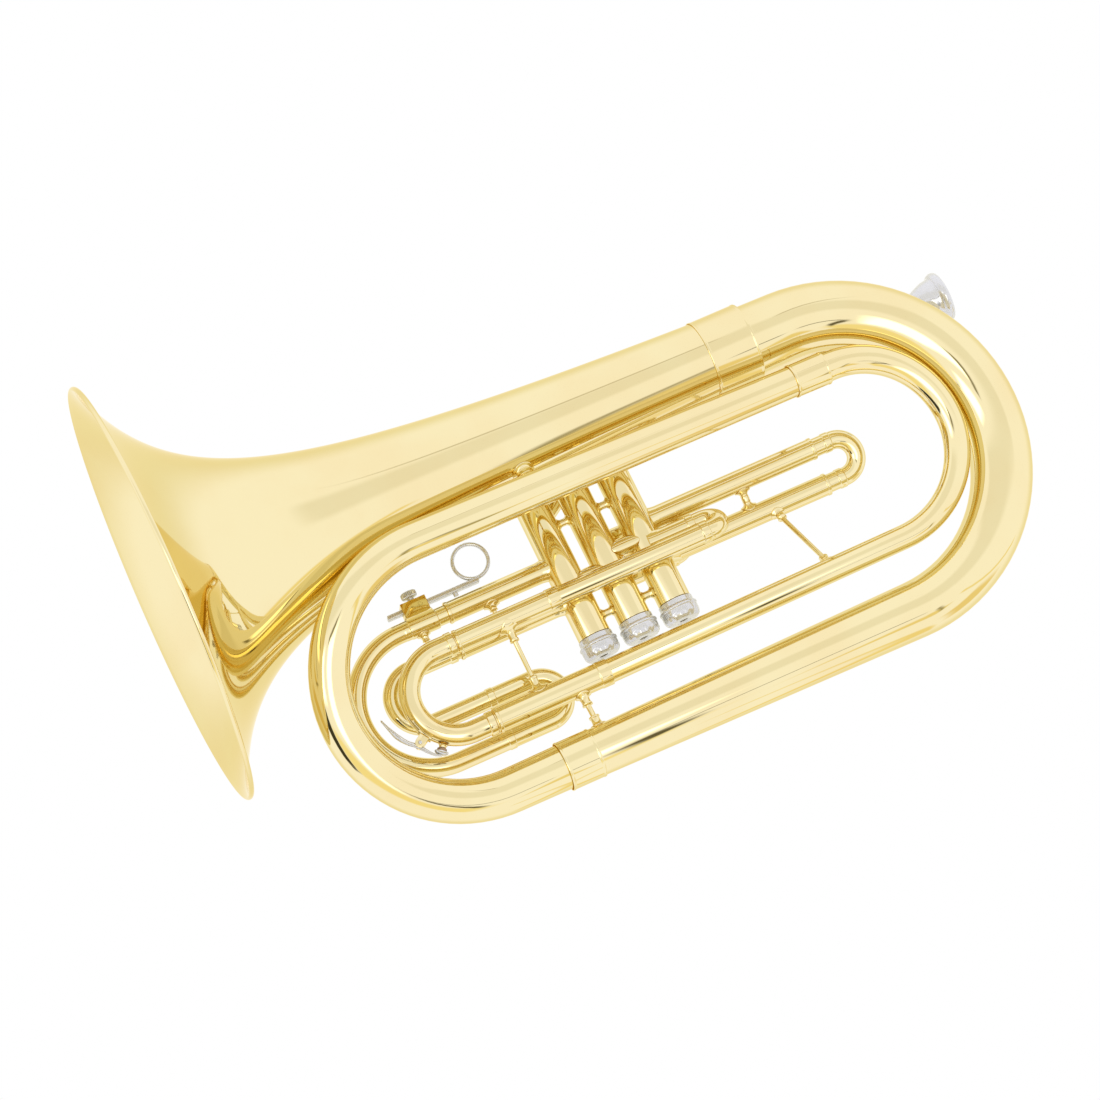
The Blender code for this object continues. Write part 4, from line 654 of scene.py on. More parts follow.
def make_polish_group():
    """Handling smudges, hairline scratches and a soft waviness, over object coordinates."""
    inputs = ("Smooth Roughness", "Smudged Roughness", "Scratch Height", "Wave Height")
    bench, given, out, place = new_group("polish_marks", inputs, ("Roughness", "Tone", "Height"))
    cloud = bench.noise(place, 14.0, 4.0, 0.55)
    fine_cloud = bench.noise(place, 95.0, 3.0, 0.6)
    smudge = bench.math("MULTIPLY", bench.mapped(cloud, 0.48, 0.72), bench.mapped(fine_cloud, 0.3, 0.75, 0.3))
    spread = bench.math("SUBTRACT", given["Smudged Roughness"], given["Smooth Roughness"])
    roughness = bench.math("MULTIPLY_ADD", smudge, spread, given["Smooth Roughness"])
    hairs = []
    for turn, scale in (((0.3, 0.2, 0.5), (26, 420, 420)), ((1.1, 0.7, 2.0), (420, 30, 420))):
        mapping = bench.add("ShaderNodeMapping", None, Vector=place, Rotation=turn, Scale=scale)
        hairs.append(bench.mapped(bench.noise(mapping.outputs[0], 1.0, 2.0, 0.5), 0.66, 0.74))
    scratches = bench.math("MULTIPLY", bench.math("MAXIMUM", *hairs), given["Scratch Height"])
    wave = bench.math("MULTIPLY", bench.noise(place, 55.0, 1.0, 0.4), given["Wave Height"])
    bench.feed(out, Roughness=roughness, Tone=cloud, Height=bench.math("SUBTRACT", wave, scratches))


def make_fibre_group():
    """Short tangled fibres or grains: fine noise over a coarser one."""
    bench, given, out, place = new_group("tangled_grain", ("Grain", "Clump"), ("Tone", "Height"))
    grain = bench.noise(place, given["Grain"], 4.0, 0.7)
    clump = bench.noise(place, given["Clump"], 3.0, 0.6)
    bench.feed(out, Tone=bench.math("MULTIPLY", grain, clump), Height=bench.math("ADD", grain, clump))


def new_finish(slot, group, marks, tones, first, second, strength, depth):
    """A material whose colour goes from the first to the second as the group's tone does from low to high.

    Its surface is bumped by the group's height. Gives back the bench, the shader and the group's outputs.
    """
    made = bpy.data.materials.new(FINISHES[slot])
    made.use_nodes = True
    bench = NodeBench(made.node_tree)
    shader = bench.add("ShaderNodeBsdfPrincipled")
    bench.add("ShaderNodeOutputMaterial", None, Surface=shader.outputs[0])
    effect = bench.add("ShaderNodeGroup", {"node_tree": bpy.data.node_groups[group]}, **marks).outputs
    tone = bench.mapped(effect["Tone"], *tones)
    bump = bench.add("ShaderNodeBump", None, Height=effect["Height"], Strength=strength, Distance=depth)
    bench.feed(shader, Base_Color=bench.mixed(tone, (*first, 1), (*second, 1)), Normal=bump.outputs[0])
    return bench, shader, effect


def polished_metal(slot, light, deep, marks, depth, painted_late_glow=None, **values):
    """A metal whose colour deepens with the marks' tone, and whose shader has these plain values.

    `painted_late_glow` is a painted glow: the metal emits it where a ray has already reflected more than
    twice, in place of the light left between facing surfaces after three reflections, past which a render
    follows no more.
    """
    bench, shader, effect = new_finish(slot, "polish_marks", marks, (0.35, 0.68), light, deep, 1.0, depth)
    bench.feed(shader, Roughness=effect["Roughness"], **{"Metallic": 1.0, **values})
    if painted_late_glow:
        # Painted glow: the colour is emitted only on rays past their second glossy reflection, standing in
        # for further reflected light.
        reflections = bench.add("ShaderNodeLightPath").outputs["Glossy Depth"]
        painted_glow = bench.mixed(bench.math("GREATER_THAN", reflections, 2.5), (0, 0, 0, 1), (*painted_late_glow, 1))
        bench.feed(shader, Emission_Color=painted_glow, Emission_Strength=1.0)


def soft_matter(slot, light, share, grain, clump, roughness, depth):
    """Felt or cork: the light colour, and a share of it between the fibres or grains."""
    dark = tuple(value * share for value in light)
    marks = {"Grain": grain, "Clump": clump}
    bench, shader, _ = new_finish(slot, "tangled_grain", marks, (0.16, 0.36), dark, light, 0.7, depth)
    bench.feed(shader, Roughness=roughness)


# Settings


def colour(name, description, default):
    return FloatVectorProperty(name=name, description=description, subtype="COLOR", default=default)


class HornFinishSettings(bpy.types.PropertyGroup):
    brass: colour("Brass", "Colour of the lacquered brass", (0.785, 0.687, 0.36))
    deep_brass: colour("Deep brass", "Colour where the lacquer is thicker", (0.775, 0.655, 0.33))
    brass_edge: colour("Brass edge", "Tint of the lacquered brass at a glancing angle", (0.98, 0.9, 0.66))
    silver: colour("Silver", "Colour of the plated pieces", (0.68, 0.68, 0.625))
    felt: colour("Felt", "Colour of the stem felts", (0.8, 0.78, 0.72))
    cork: colour("Cork", "Colour of the key's cork", (0.56, 0.36, 0.2))
    smudges: FloatProperty(
        name="Smudges",
        description="Roughness where the metal has been handled",
        default=0.08,
        min=0.0,
        max=1.0,
        subtype="FACTOR",
    )


class HornDetailSettings(bpy.types.PropertyGroup):
    bell_facets: IntProperty(name="Bell facets", description="Facets round the bell", default=160, min=24)
    bow_facets: IntProperty(name="Bow facets", description="Facets round the large bows", default=72, min=16)
    tube_facets: IntProperty(name="Tube facets", description="Facets round the slides", default=48, min=12)
    cap_ridges: IntProperty(name="Cap ridges", description="Ridges round a top cap", default=36, min=8)
    screw_ridges: IntProperty(name="Screw ridges", description="Ridges of the thumb screw", default=26, min=8)
    spring_wire: FloatProperty(
        name="Spring wire",
        description="Thickness of the springs' wire",
        default=0.0014,
        unit="LENGTH",
        min=0.0005,
    )


class HornStageSettings(bpy.types.PropertyGroup):
    floor_drop: FloatProperty(
        name="Floor drop",
        description="How far the floor lies below the hand grip",
        default=0.95,
        unit="LENGTH",
    )
    camera_distance: FloatProperty(
        name="Camera distance", description="From the bell's rim to the camera", default=2.604, unit="LENGTH"
    )
    lens: FloatProperty(name="Lens", description="Focal length", default=136.35, subtype="DISTANCE_CAMERA")
    white: FloatVectorProperty(
        name="White", description="Light of the white surround", default=(1.22, 1.22, 1.4)
    )


def detail():
    return bpy.context.scene.horn_detail


# Operators


class HORN_OT_finishes(bpy.types.Operator):
    """Make the brass, silver, steel, felt and cork finishes"""

    bl_idname = "horn.finishes"
    bl_label = "Finishes"

    def execute(self, context):
        look = context.scene.horn_finish
        make_polish_group()
        make_fibre_group()
        brass = {
            "Smooth_Roughness": 0.035,
            "Smudged_Roughness": look.smudges,
            "Scratch_Height": 0.015,
            "Wave_Height": 0.4,
        }
        silver = {**brass, "Smooth_Roughness": 0.08, "Scratch_Height": 0.05}
        steel = {**silver, "Smooth_Roughness": 0.2, "Smudged_Roughness": 0.32}
        # The brass's (0.22, 0.14, 0.03) is a painted glow, emitted past the second reflection in place of
        # further reflected light.
        polished_metal(
            "lacquered_brass", look.brass, look.deep_brass, brass, 0.00002, (0.22, 0.14, 0.03),
            Coat_Weight=0.1, Specular_Tint=(*look.brass_edge, 1),
        )
        dull = tuple(value * 0.94 for value in look.silver)
        polished_metal("silver_plate", look.silver, dull, silver, 0.00002, Metallic=0.5)
        polished_metal("spring_steel", (0.62, 0.62, 0.63), (0.5, 0.5, 0.52), steel, 0.00003)
        soft_matter("felt", look.felt, 0.7, 1500.0, 420.0, 0.95, 0.0003)
        soft_matter("cork", look.cork, 0.45, 800.0, 300.0, 0.85, 0.0002)
        return {"FINISHED"}


class HORN_OT_bell(bpy.types.Operator):
    """Make the flaring bell with its rolled rim"""

    bl_idname = "horn.bell"
    bl_label = "Bell"

    def execute(self, context):
        share = np.linspace(0, 1, 80) ** 2.1
        outer_start, inner_start, bead_drop, step = 2.3, 2.0, 1.19, 0.05
        outer_x = outer_start + (BELL_LENGTH - outer_start) * share[::-1]
        angle = np.radians(np.linspace(-42, 205, 22))
        bead_radius = BELL_RIM_RADIUS - bead_drop + RIM_BEAD_RADIUS * np.sin(angle)
        inner_x = inner_start + (BELL_LENGTH - inner_start) * share
        slope = (bell_radius(inner_x + step) - bell_radius(inner_x - step)) / (2 * step)
        lean = np.hypot(1, slope)
        inner_radius = bell_radius(inner_x) - BELL_WALL / lean
        inner = np.stack([inner_radius, inner_x + BELL_WALL * slope / lean], axis=1)
        inner[-1] = (bell_radius(BELL_LENGTH) - BELL_WALL, BELL_LENGTH)
        profile = np.vstack([
            np.stack([bell_radius(outer_x), outer_x], axis=1),
            np.stack([bead_radius, RIM_BEAD_RADIUS * (1 + np.cos(angle))], axis=1),
            inner,
        ])
        add_piece("bell", turned((0, 0, 0), X_AXIS, profile, detail().bell_facets, soft=0), sharp=50)
        return {"FINISHED"}


class HORN_OT_main_wrap(bpy.types.Operator):
    """Make the three conical bows and the plain rings over their joints"""

    bl_idname = "horn.main_wrap"
    bl_label = "Main Wrap"

    def ferrule(self, node, middle, axis, length, tube_radius):
        bore = tube_radius + 0.15
        outer, band = bore + 0.45, bore + 0.7
        profile = [
            (band, length), (band, length - 1.3), (outer, length - 1.7), (outer, 1.7), (band, 1.3), (band, 0),
            (bore, 0), (bore, length),
        ]
        start = middle - unit(axis) * length / 2
        add_piece(node, turned(start, axis, profile, detail().bow_facets, soft=0.45))

    def execute(self, context):
        add_piece("back_bow", cone(BACK_LINE, BACK_RADII))
        add_piece("front_bow", cone(FRONT_LINE, FRONT_RADII))
        start, end = INNER_RADII
        bow_end = INNER_LINE.length - (INNER_BOW_X - INNER_END_X)
        stops = [(0, start), (bow_end + 58, end), (INNER_LINE.length, end)]
        add_piece("inner_bow", shell(INNER_LINE, stops, BOW_WALL, detail().bow_facets, 0.2))
        self.ferrule("bell_ferrule", (BELL_LENGTH, 0, 0), X_AXIS, 32, bell_radius(BELL_LENGTH - 16))
        self.ferrule("bottom_ferrule", FRONT_CORNERS[0], X_AXIS, 23, BACK_RADII[1] + 0.15)
        self.ferrule("upper_ferrule", FRONT_CORNERS[3], TOP_RUN, 24, FRONT_RADII[1] + 0.15)
        return {"FINISHED"}


def crook_stops(length, leg_length, radii, bow):
    """A slide's moving tube: a leg of its own radius at each end, then a band, and the bow between."""
    stops = []
    for side, radius in enumerate(radii):
        rises = [(0, radius)]
        rises += band_stops(leg_length, leg_length + 5, radius, max(radius, bow) + BAND_RISE + 0.1, 0.4, bow)
        if side:
            rises = [(length - there, size) for there, size in reversed(rises)]
        stops += rises
    return stops


def socket_sleeve(start_x, end_x, tube, pipe_radius):
    """A straight outer tube whose far end is a socket over the pipe that it joins."""
    y, z, radius = tube
    length = end_x - start_x
    bore, band, socket = radius - SLIDE_WALL, radius + BAND_RISE, pipe_radius + 0.15
    jacket = max(socket + 0.5, band)
    profile = [
        (jacket, length), (jacket, length - 7.4), (radius, length - 7.9), (radius, 2.2), (band, 1.9),
        (band, 0), (bore, 0), (bore, length - 7.6), (socket, length - 7.6), (socket, length),
    ]
    return turned((start_x, y, z), X_AXIS, profile, detail().tube_facets, soft=0.35)


class HORN_OT_main_slide(bpy.types.Operator):
    """Make the main tuning slide, its two outer tubes and the pipe that feeds it"""

    bl_idname = "horn.main_slide"
    bl_label = "Main Tuning Slide"

    def execute(self, context):
        add_piece("upper_slide_sleeve", socket_sleeve(161.5, 234, MAIN_TUBES[0], OUTLET_RADIUS))
        add_piece("lower_slide_sleeve", socket_sleeve(163, 242, MAIN_TUBES[1], INNER_RADII[1]))
        stops = crook_stops(MAIN_SLIDE_LINE.length, 63, (6.1, 7.45), MAIN_BOW_RADIUS)
        add_piece("main_tuning_slide", shell(MAIN_SLIDE_LINE, stops))
        y, z = OUTLET_LEAVES
        tubes = (MAIN_TUBES[0], (y, z, OUTLET_RADIUS))
        facing = (0, MAIN_SLIDE_TOP_Z - z, y - MAIN_SLIDE_Y)
        line = bow_route(u_turn(tubes, 229, OUTLET_TURN_X, VALVE_X[1]), facing)
        radius, band, length = OUTLET_RADIUS, OUTLET_RADIUS + 0.5, line.length
        bend, bow_width = 8.5, 17.1
        seam = length - (OUTLET_TURN_X - VALVE_X[1]) + bend - math.pi * bow_width / 2
        stops = [(0, radius), *band_stops(seam - 7, seam - 1.3, radius, band)]
        stops += band_stops(length - 33, length - 27.5, radius, band)
        stops += [(length - 7, radius), (length - 3, 6.8), (length, 7.3)]
        add_piece("valve_outlet_pipe", shell(line, stops, joins=[("end", casing_post(1), 26)]))
        return {"FINISHED"}


class HORN_OT_valve_slides(bpy.types.Operator):
    """Make the first, second and third valves' slides with their outer tubes"""

    bl_idname = "horn.valve_slides"
    bl_label = "Valve Slides"

    def sleeve(self, node, number, tube, end_x, reach, knee_x=None):
        """An outer tube from a casing: solder there, a raised band at its open end and perhaps a knee."""
        y, z, radius = tube
        knee = knee_x is not None
        corners = [(VALVE_X[number], VALVE_Y, z), (knee_x, y, z)] if knee else [(VALVE_X[number], y, z)]
        line = Route([*corners, (end_x, y, z)], (KNEE_BEND,) * knee, Z_AXIS if knee else Y_AXIS)
        length, band = line.length, radius + BAND_RISE
        stops = [(0, radius + 0.8), (3, radius + 0.3), (7, radius), (length - 2.2, radius)]
        stops += [(length - 1.9, band), (length, band)]
        add_piece(node, shell(line, stops, joins=[("start", casing_post(number), reach)]))

    def crook(self, node, corners, leg_length, radius):
        line = bow_route(corners)
        add_piece(node, shell(line, crook_stops(line.length, leg_length, (radius, radius), radius)))

    def third_crook(self):
        inside_x, front_x, back_x, fold_x = 215, 87.8, 213, 111
        (y, upper_z, radius), (_, lower_z, _) = THIRD_TUBES
        bottom_z, fold_z = -165.6, -136.4
        turns = [
            (inside_x, upper_z), (front_x, upper_z), (front_x, bottom_z), (back_x, bottom_z),
            (back_x, fold_z), (fold_x, fold_z), (fold_x, lower_z), (inside_x, lower_z),
        ]
        line = bow_route([(x, y, z) for x, z in turns])
        leg, bow, length = 6.0, 6.3, line.length
        stops = [(0, leg), (54.6, leg), (55, 6.9), (74, 6.9), (74.5, 6.45), (77.5, 6.45), (78.2, bow)]
        for middle in (length * 0.475, length * 0.665):
            stops += band_stops(middle - 2.4, middle + 2.4, bow, bow + 0.5, 0.4)
        lower_leg = length - (inside_x - 164)
        stops += [*band_stops(lower_leg - 8, lower_leg - 2.5, bow, radius, after=leg), (length, leg)]
        stay = brace(*posts_at(148, ((y, upper_z, 6.9), (y, lower_z, bow))), 1.4, 4.6, 2.0)
        add_piece("third_slide_crook", shell(line, stops), stay)

    def execute(self, context):
        self.sleeve("first_sleeve_upper", 1, FIRST_TUBES[0], 432.5, 30)
        self.sleeve("first_sleeve_lower", 1, FIRST_TUBES[1], 432.5, 16.5, 321)
        self.crook("first_slide_crook", u_turn(FIRST_TUBES, 372.5, 458, 372.5), 67, 6.15)
        self.sleeve("second_sleeve_upper", 2, SECOND_TUBES[0], 318, 13.9, VALVE_X[2])
        self.sleeve("second_sleeve_lower", 2, SECOND_TUBES[1], 318, 13.9, VALVE_X[2])
        self.crook("second_slide_crook", u_turn(SECOND_TUBES, 296, 336.5, 296), 22.5, 5.85)
        self.sleeve("third_sleeve_upper", 3, THIRD_TUBES[0], 167.4, 30)
        self.sleeve("third_sleeve_lower", 3, THIRD_TUBES[1], 164, 30)
        self.third_crook()
        return {"FINISHED"}


class HORN_OT_braces(bpy.types.Operator):
    """Make the soldered braces and stays, with a saddle on each tube"""

    bl_idname = "horn.braces"
    bl_label = "Braces"

    def execute(self, context):
        """Each row holds the node, the two tubes that it joins, and its rod, foot, collar and any bead."""
        inner = passing(INNER_LOW, INNER_END, 400.7)
        pipe = passing(LEADPIPE_CORNERS[0], LEADPIPE_CORNERS[1], 424)
        x = 240
        front = front_top(x)
        slope = (bell_radius(x + 1) - bell_radius(x - 1)) / 2
        bell = round_post(x, 0, 0, bell_radius(x), X_AXIS + slope * unit(front[0] - (x, 0, 0)))
        for node, first, second, *sizes in (
            ("main_slide_brace", *posts_at(196, MAIN_TUBES), 1.6, 7, 7),
            ("first_sleeve_brace", *posts_at(378, FIRST_TUBES), 1.5, 5.4, 1.0, 2.7),
            ("first_slide_stay", round_post(392, *FIRST_TUBES[1]), (*inner, INNER_RADII[1]), 1.6, 4.8, 3.5),
            ("third_sleeve_brace", *posts_at(195.8, THIRD_TUBES), 1.5, 5.6, 1.0),
            ("bell_brace", bell, front, 3.0, 7.5, 3.0),
            ("bottom_stay", round_post(219.8, *MAIN_TUBES[1]), back_leg(219.8, False), 1.8, 5.4, 5),
            ("leadpipe_brace", back_leg(424, True), (*pipe, LEADPIPE_RADIUS), 1.8, 6, 5),
        ):
            add_piece(node, brace(first, second, *sizes))
        return {"FINISHED"}


class HORN_OT_valves(bpy.types.Operator):
    """Make the three casings with their links, knuckles and caps"""

    bl_idname = "horn.valves"
    bl_label = "Valve Casings"

    def casing(self, number):
        height = CASING_TOP_Z - CASING_BOTTOM_Z
        bore, radius, thread = CASING_BORE, CASING_RADIUS, CASING_RADIUS - 0.6
        profile = [
            (thread, height), (thread, height - 6.3), (radius, height - 6.5), (radius, 10.2), (thread, 10),
            (thread, 0), (bore, 0), (bore, height),
        ]
        surfaces = [on_valve(number, CASING_BOTTOM_Z, profile, 64, soft=0.2)]
        if number == 2:
            surfaces += [self.link(other, z) for z in (-49.6, -115.7) for other in (1, 3)]
        else:
            surfaces.append(self.knuckle(number, -81.5 if number == 1 else -90.6))
        add_piece(f"valve_casing_{number}", *surfaces)

    def link(self, other, z):
        """A short bar between two casings whose radius is rod + flare * (1 - s / reach) ** 2 near each."""
        first, second = self.neighbours(other, z)
        s = np.linspace(0, gap_between(first, second) - 0.2, 25)
        near = np.minimum(s, s[-1] - s)
        rod, flare, reach = 2.5, 2.0, 2.4
        return between(first, second, self.capped_rod(s, rod + flare * np.clip(1 - near / reach, 0, 1) ** 2))

    def knuckle(self, other, z):
        """The barrel that joins two casings: radius = end + swell * sin(pi * s / length) ** 0.8."""
        first, second = self.neighbours(other, z)
        s = np.linspace(0, gap_between(first, second), 29)
        end, swell = 4.9, 1.7
        radius = end + swell * np.clip(np.sin(np.pi * s / s[-1]), 0, 1) ** 0.8
        return between(first, second, self.capped_rod(s, radius), shift=(0, -4, 0))

    def capped_rod(self, s, radius):
        return np.vstack([(0, 0), np.stack([radius, s], axis=1), (0, s[-1])])

    def neighbours(self, other, z):
        """The middle casing and another, at this height."""
        return [(centre + (0, 0, z), axis, radius) for centre, axis, radius in map(casing_post, (2, other))]

    def bottom_cap(self, number):
        height, radius = 14.0, CAP_RADIUS
        band = CAP_BORE + 0.9
        profile = [
            (band, height, 0), (band, height - 3.3, 0), (12.3, height - 3.9, 0), (13.0, height - 4.6, 0),
            (13.0, height - 5.7, 0), (12.35, height - 6.3, 0), (radius, height - 7.2, 0), (radius, 4.6, 0.2),
            (12.4, 3.4, 1), (11.7, 1.5, 1), (10.4, 0.1, 1), (6.0, 0.0, 0), (5.0, 0.0, 0), (4.4, 0.5, 0),
            (2.85, 0.6, 0), (2.85, 3.0, 0), (CAP_BORE, 3.0, 0), (CAP_BORE, height, 0),
        ]
        surface = on_valve(number, CASING_BOTTOM_Z - 4.3, profile, 180, ripple=(15, 0.35))
        add_piece(f"bottom_cap_{number}", surface)

    def top_cap(self, number):
        radius, hole, floor, top = CAP_RADIUS, 2.5, 6.3, 8.5
        profile = [
            (hole, top, 0), (5.2, top, 0), (5.8, top - 0.5, 0), (9.6, top - 0.5, 0), (10.3, top, 0),
            (11.2, top, 0), (radius, top - 1.2, 0), (radius, top - 1.8, 1), (radius, 1.4, 1),
            (radius, 0.8, 0), (12.1, 0, 0), (CAP_BORE, 0, 0), (CAP_BORE, floor, 0), (hole, floor, 0),
        ]
        ripple = (detail().cap_ridges, 0.45)
        surface = on_valve(number, CASING_TOP_Z - 6.0, profile, 288, soft=0.25, ripple=ripple)
        add_piece(f"top_cap_{number}", surface)

    def execute(self, context):
        for number in VALVE_X:
            self.casing(number)
            self.bottom_cap(number)
            self.top_cap(number)
        return {"FINISHED"}


class HORN_OT_pistons(bpy.types.Operator):
    """Make the pistons with their stems, felts, finger buttons and springs"""

    bl_idname = "horn.pistons"
    bl_label = "Pistons"

    def piston(self, number, button_z):
        in_button = 3.4
        height, stem = PISTON_TOP_Z - PISTON_BOTTOM_Z, button_z + in_button - PISTON_BOTTOM_Z
        radius = CASING_BORE - 0.3
        pocket, pocket_depth = radius - 1.4, 16
        profile = [
            (0, stem), (STEM_RADIUS, stem), (STEM_RADIUS, height + 2), (4.2, height + 1.2), (4.6, height),
            (radius, height), (radius, 0), (pocket, 0), (pocket, pocket_depth), (0, pocket_depth),
        ]
        surface = on_valve(number, PISTON_BOTTOM_Z, profile, 48, closed=False)
        add_piece(f"piston_{number}", surface)

    def felt(self, number, z):
        ring = [(6, FELT_HEIGHT), (6, 0), (STEM_HOLE, 0), (STEM_HOLE, FELT_HEIGHT)]
        add_piece(f"stem_felt_{number}", on_valve(number, z, ring, 40, soft=0.5))

    def button(self, number, z):
        profile = [
            (0, 8.2), (3, 8.25), (5.6, 8.55), (7.2, 9.0), (8.0, 8.6), (8.2, 7.6), (7.9, 6.2), (7.0, 4.6),
            (5.6, 3.8), (4.2, 3.4), (3.8, 2.6), (3.8, 0.6), (4.2, 0.3), (4.2, 0), (STEM_HOLE, 0),
            (STEM_HOLE, 3.7), (0, 3.7),
        ]
        surface = on_valve(number, z, profile, 56, closed=False, soft=0.5)
        add_piece(f"finger_button_{number}", surface)

    def spring(self, number):
        """A helix whose pitch closes up at each end: z rises evenly over all but its first and last turns."""
        x, radius, turns, flat = VALVE_X[number], 5.8, 6.5, 0.75
        wire = detail().spring_wire / MM / 2
        low, high = CASING_BOTTOM_Z - 0.3, PISTON_BOTTOM_Z + 15.0
        turn = np.linspace(0, 1, 300) * turns
        rise = np.clip((turn - flat) / (turns - 2 * flat), 0, 1)
        dead = wire * 2 * (np.minimum(turn, flat) + np.maximum(turn - turns + flat, 0))
        z = low + dead + (high - low - 3 * wire) * rise
        angle = 2 * np.pi * turn
        points = np.stack([x + radius * np.cos(angle), VALVE_Y + radius * np.sin(angle), z], axis=1)
        line = Route(points, (), Z_AXIS)
        profile = [(0, 0), (0, wire), (line.length, wire), (line.length, 0)]
        surface = swept(line, profile, 10, closed=False)
        piece = add_piece(f"piston_spring_{number}", surface, sharp=60)
        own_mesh(piece)

    def execute(self, context):
        play, cap_rise = 0.3, 2.2
        felt_z = CASING_TOP_Z + play + cap_rise + VALVE_STROKE + play
        button_z = felt_z + FELT_HEIGHT + play
        for number in VALVE_X:
            self.piston(number, button_z)
            self.felt(number, felt_z)
            self.button(number, button_z)
            self.spring(number)
        return {"FINISHED"}


class HORN_OT_leadpipe(bpy.types.Operator):
    """Make the leadpipe, its receiver and the mouthpiece"""

    bl_idname = "horn.leadpipe"
    bl_label = "Leadpipe and Mouthpiece"

    def mouthpiece(self, tip):
        outer = [
            (17.3, 65.4), (16.4, 63.6), (15.1, 62.8), (14.6, 61), (13.9, 57), (11.7, 51), (8.9, 45),
            (6.9, 40.5), (6.25, 37), (6.4, 33), (6.3, 30),
        ]
        cup = [
            (3.1, 38), (3.1, 46), (6.2, 49.2), (10.4, 55.5), (12.3, 62), (12.8, 66.6), (13.4, 68.4),
            (14.2, 69),
        ]
        rim = softened([(14.2, 69), (16.2, 69), (17.3, 67.6), (17.3, 65.4)], 0.9, 4, closed=False)[:-1]
        shank_end = [(5.5, 0), (4.6, 0)]
        profile = np.vstack([rim, curve_through(outer, 5), shank_end, curve_through(cup, 5)[:-1]])
        add_piece("mouthpiece", turned(tip, LEADPIPE_OUT, profile, 96, soft=0), sharp=50)

    def execute(self, context):
        line = Route(LEADPIPE_CORNERS, LEADPIPE_BENDS, facing=(0.45, 0.1, -0.9))
        radius, length = LEADPIPE_RADIUS, line.length
        stops = [(0, radius), (length - 7, radius), (length - 3, 6.1), (length, 6.6)]
        add_piece("leadpipe", shell(line, stops, joins=[("end", casing_post(3), 10.9)]))
        end = RECEIVER_LENGTH
        profile = [
            (8.9, end), (8.9, 25.2), (7.9, 24.2), (7.7, 14), (7.4, 1.2), (7.0, 0), (5.95, 0), (5.95, 7.8),
            (radius, 8.6), (6.3, end),
        ]
        start = LEADPIPE_CORNERS[0] - LEADPIPE_OUT * RECEIVER_OVERLAP
        add_piece("mouthpiece_receiver", turned(start, LEADPIPE_OUT, profile, 56, soft=0.5))
        self.mouthpiece(start + LEADPIPE_OUT * (RECEIVER_LENGTH - SHANK_IN_RECEIVER))
        return {"FINISHED"}


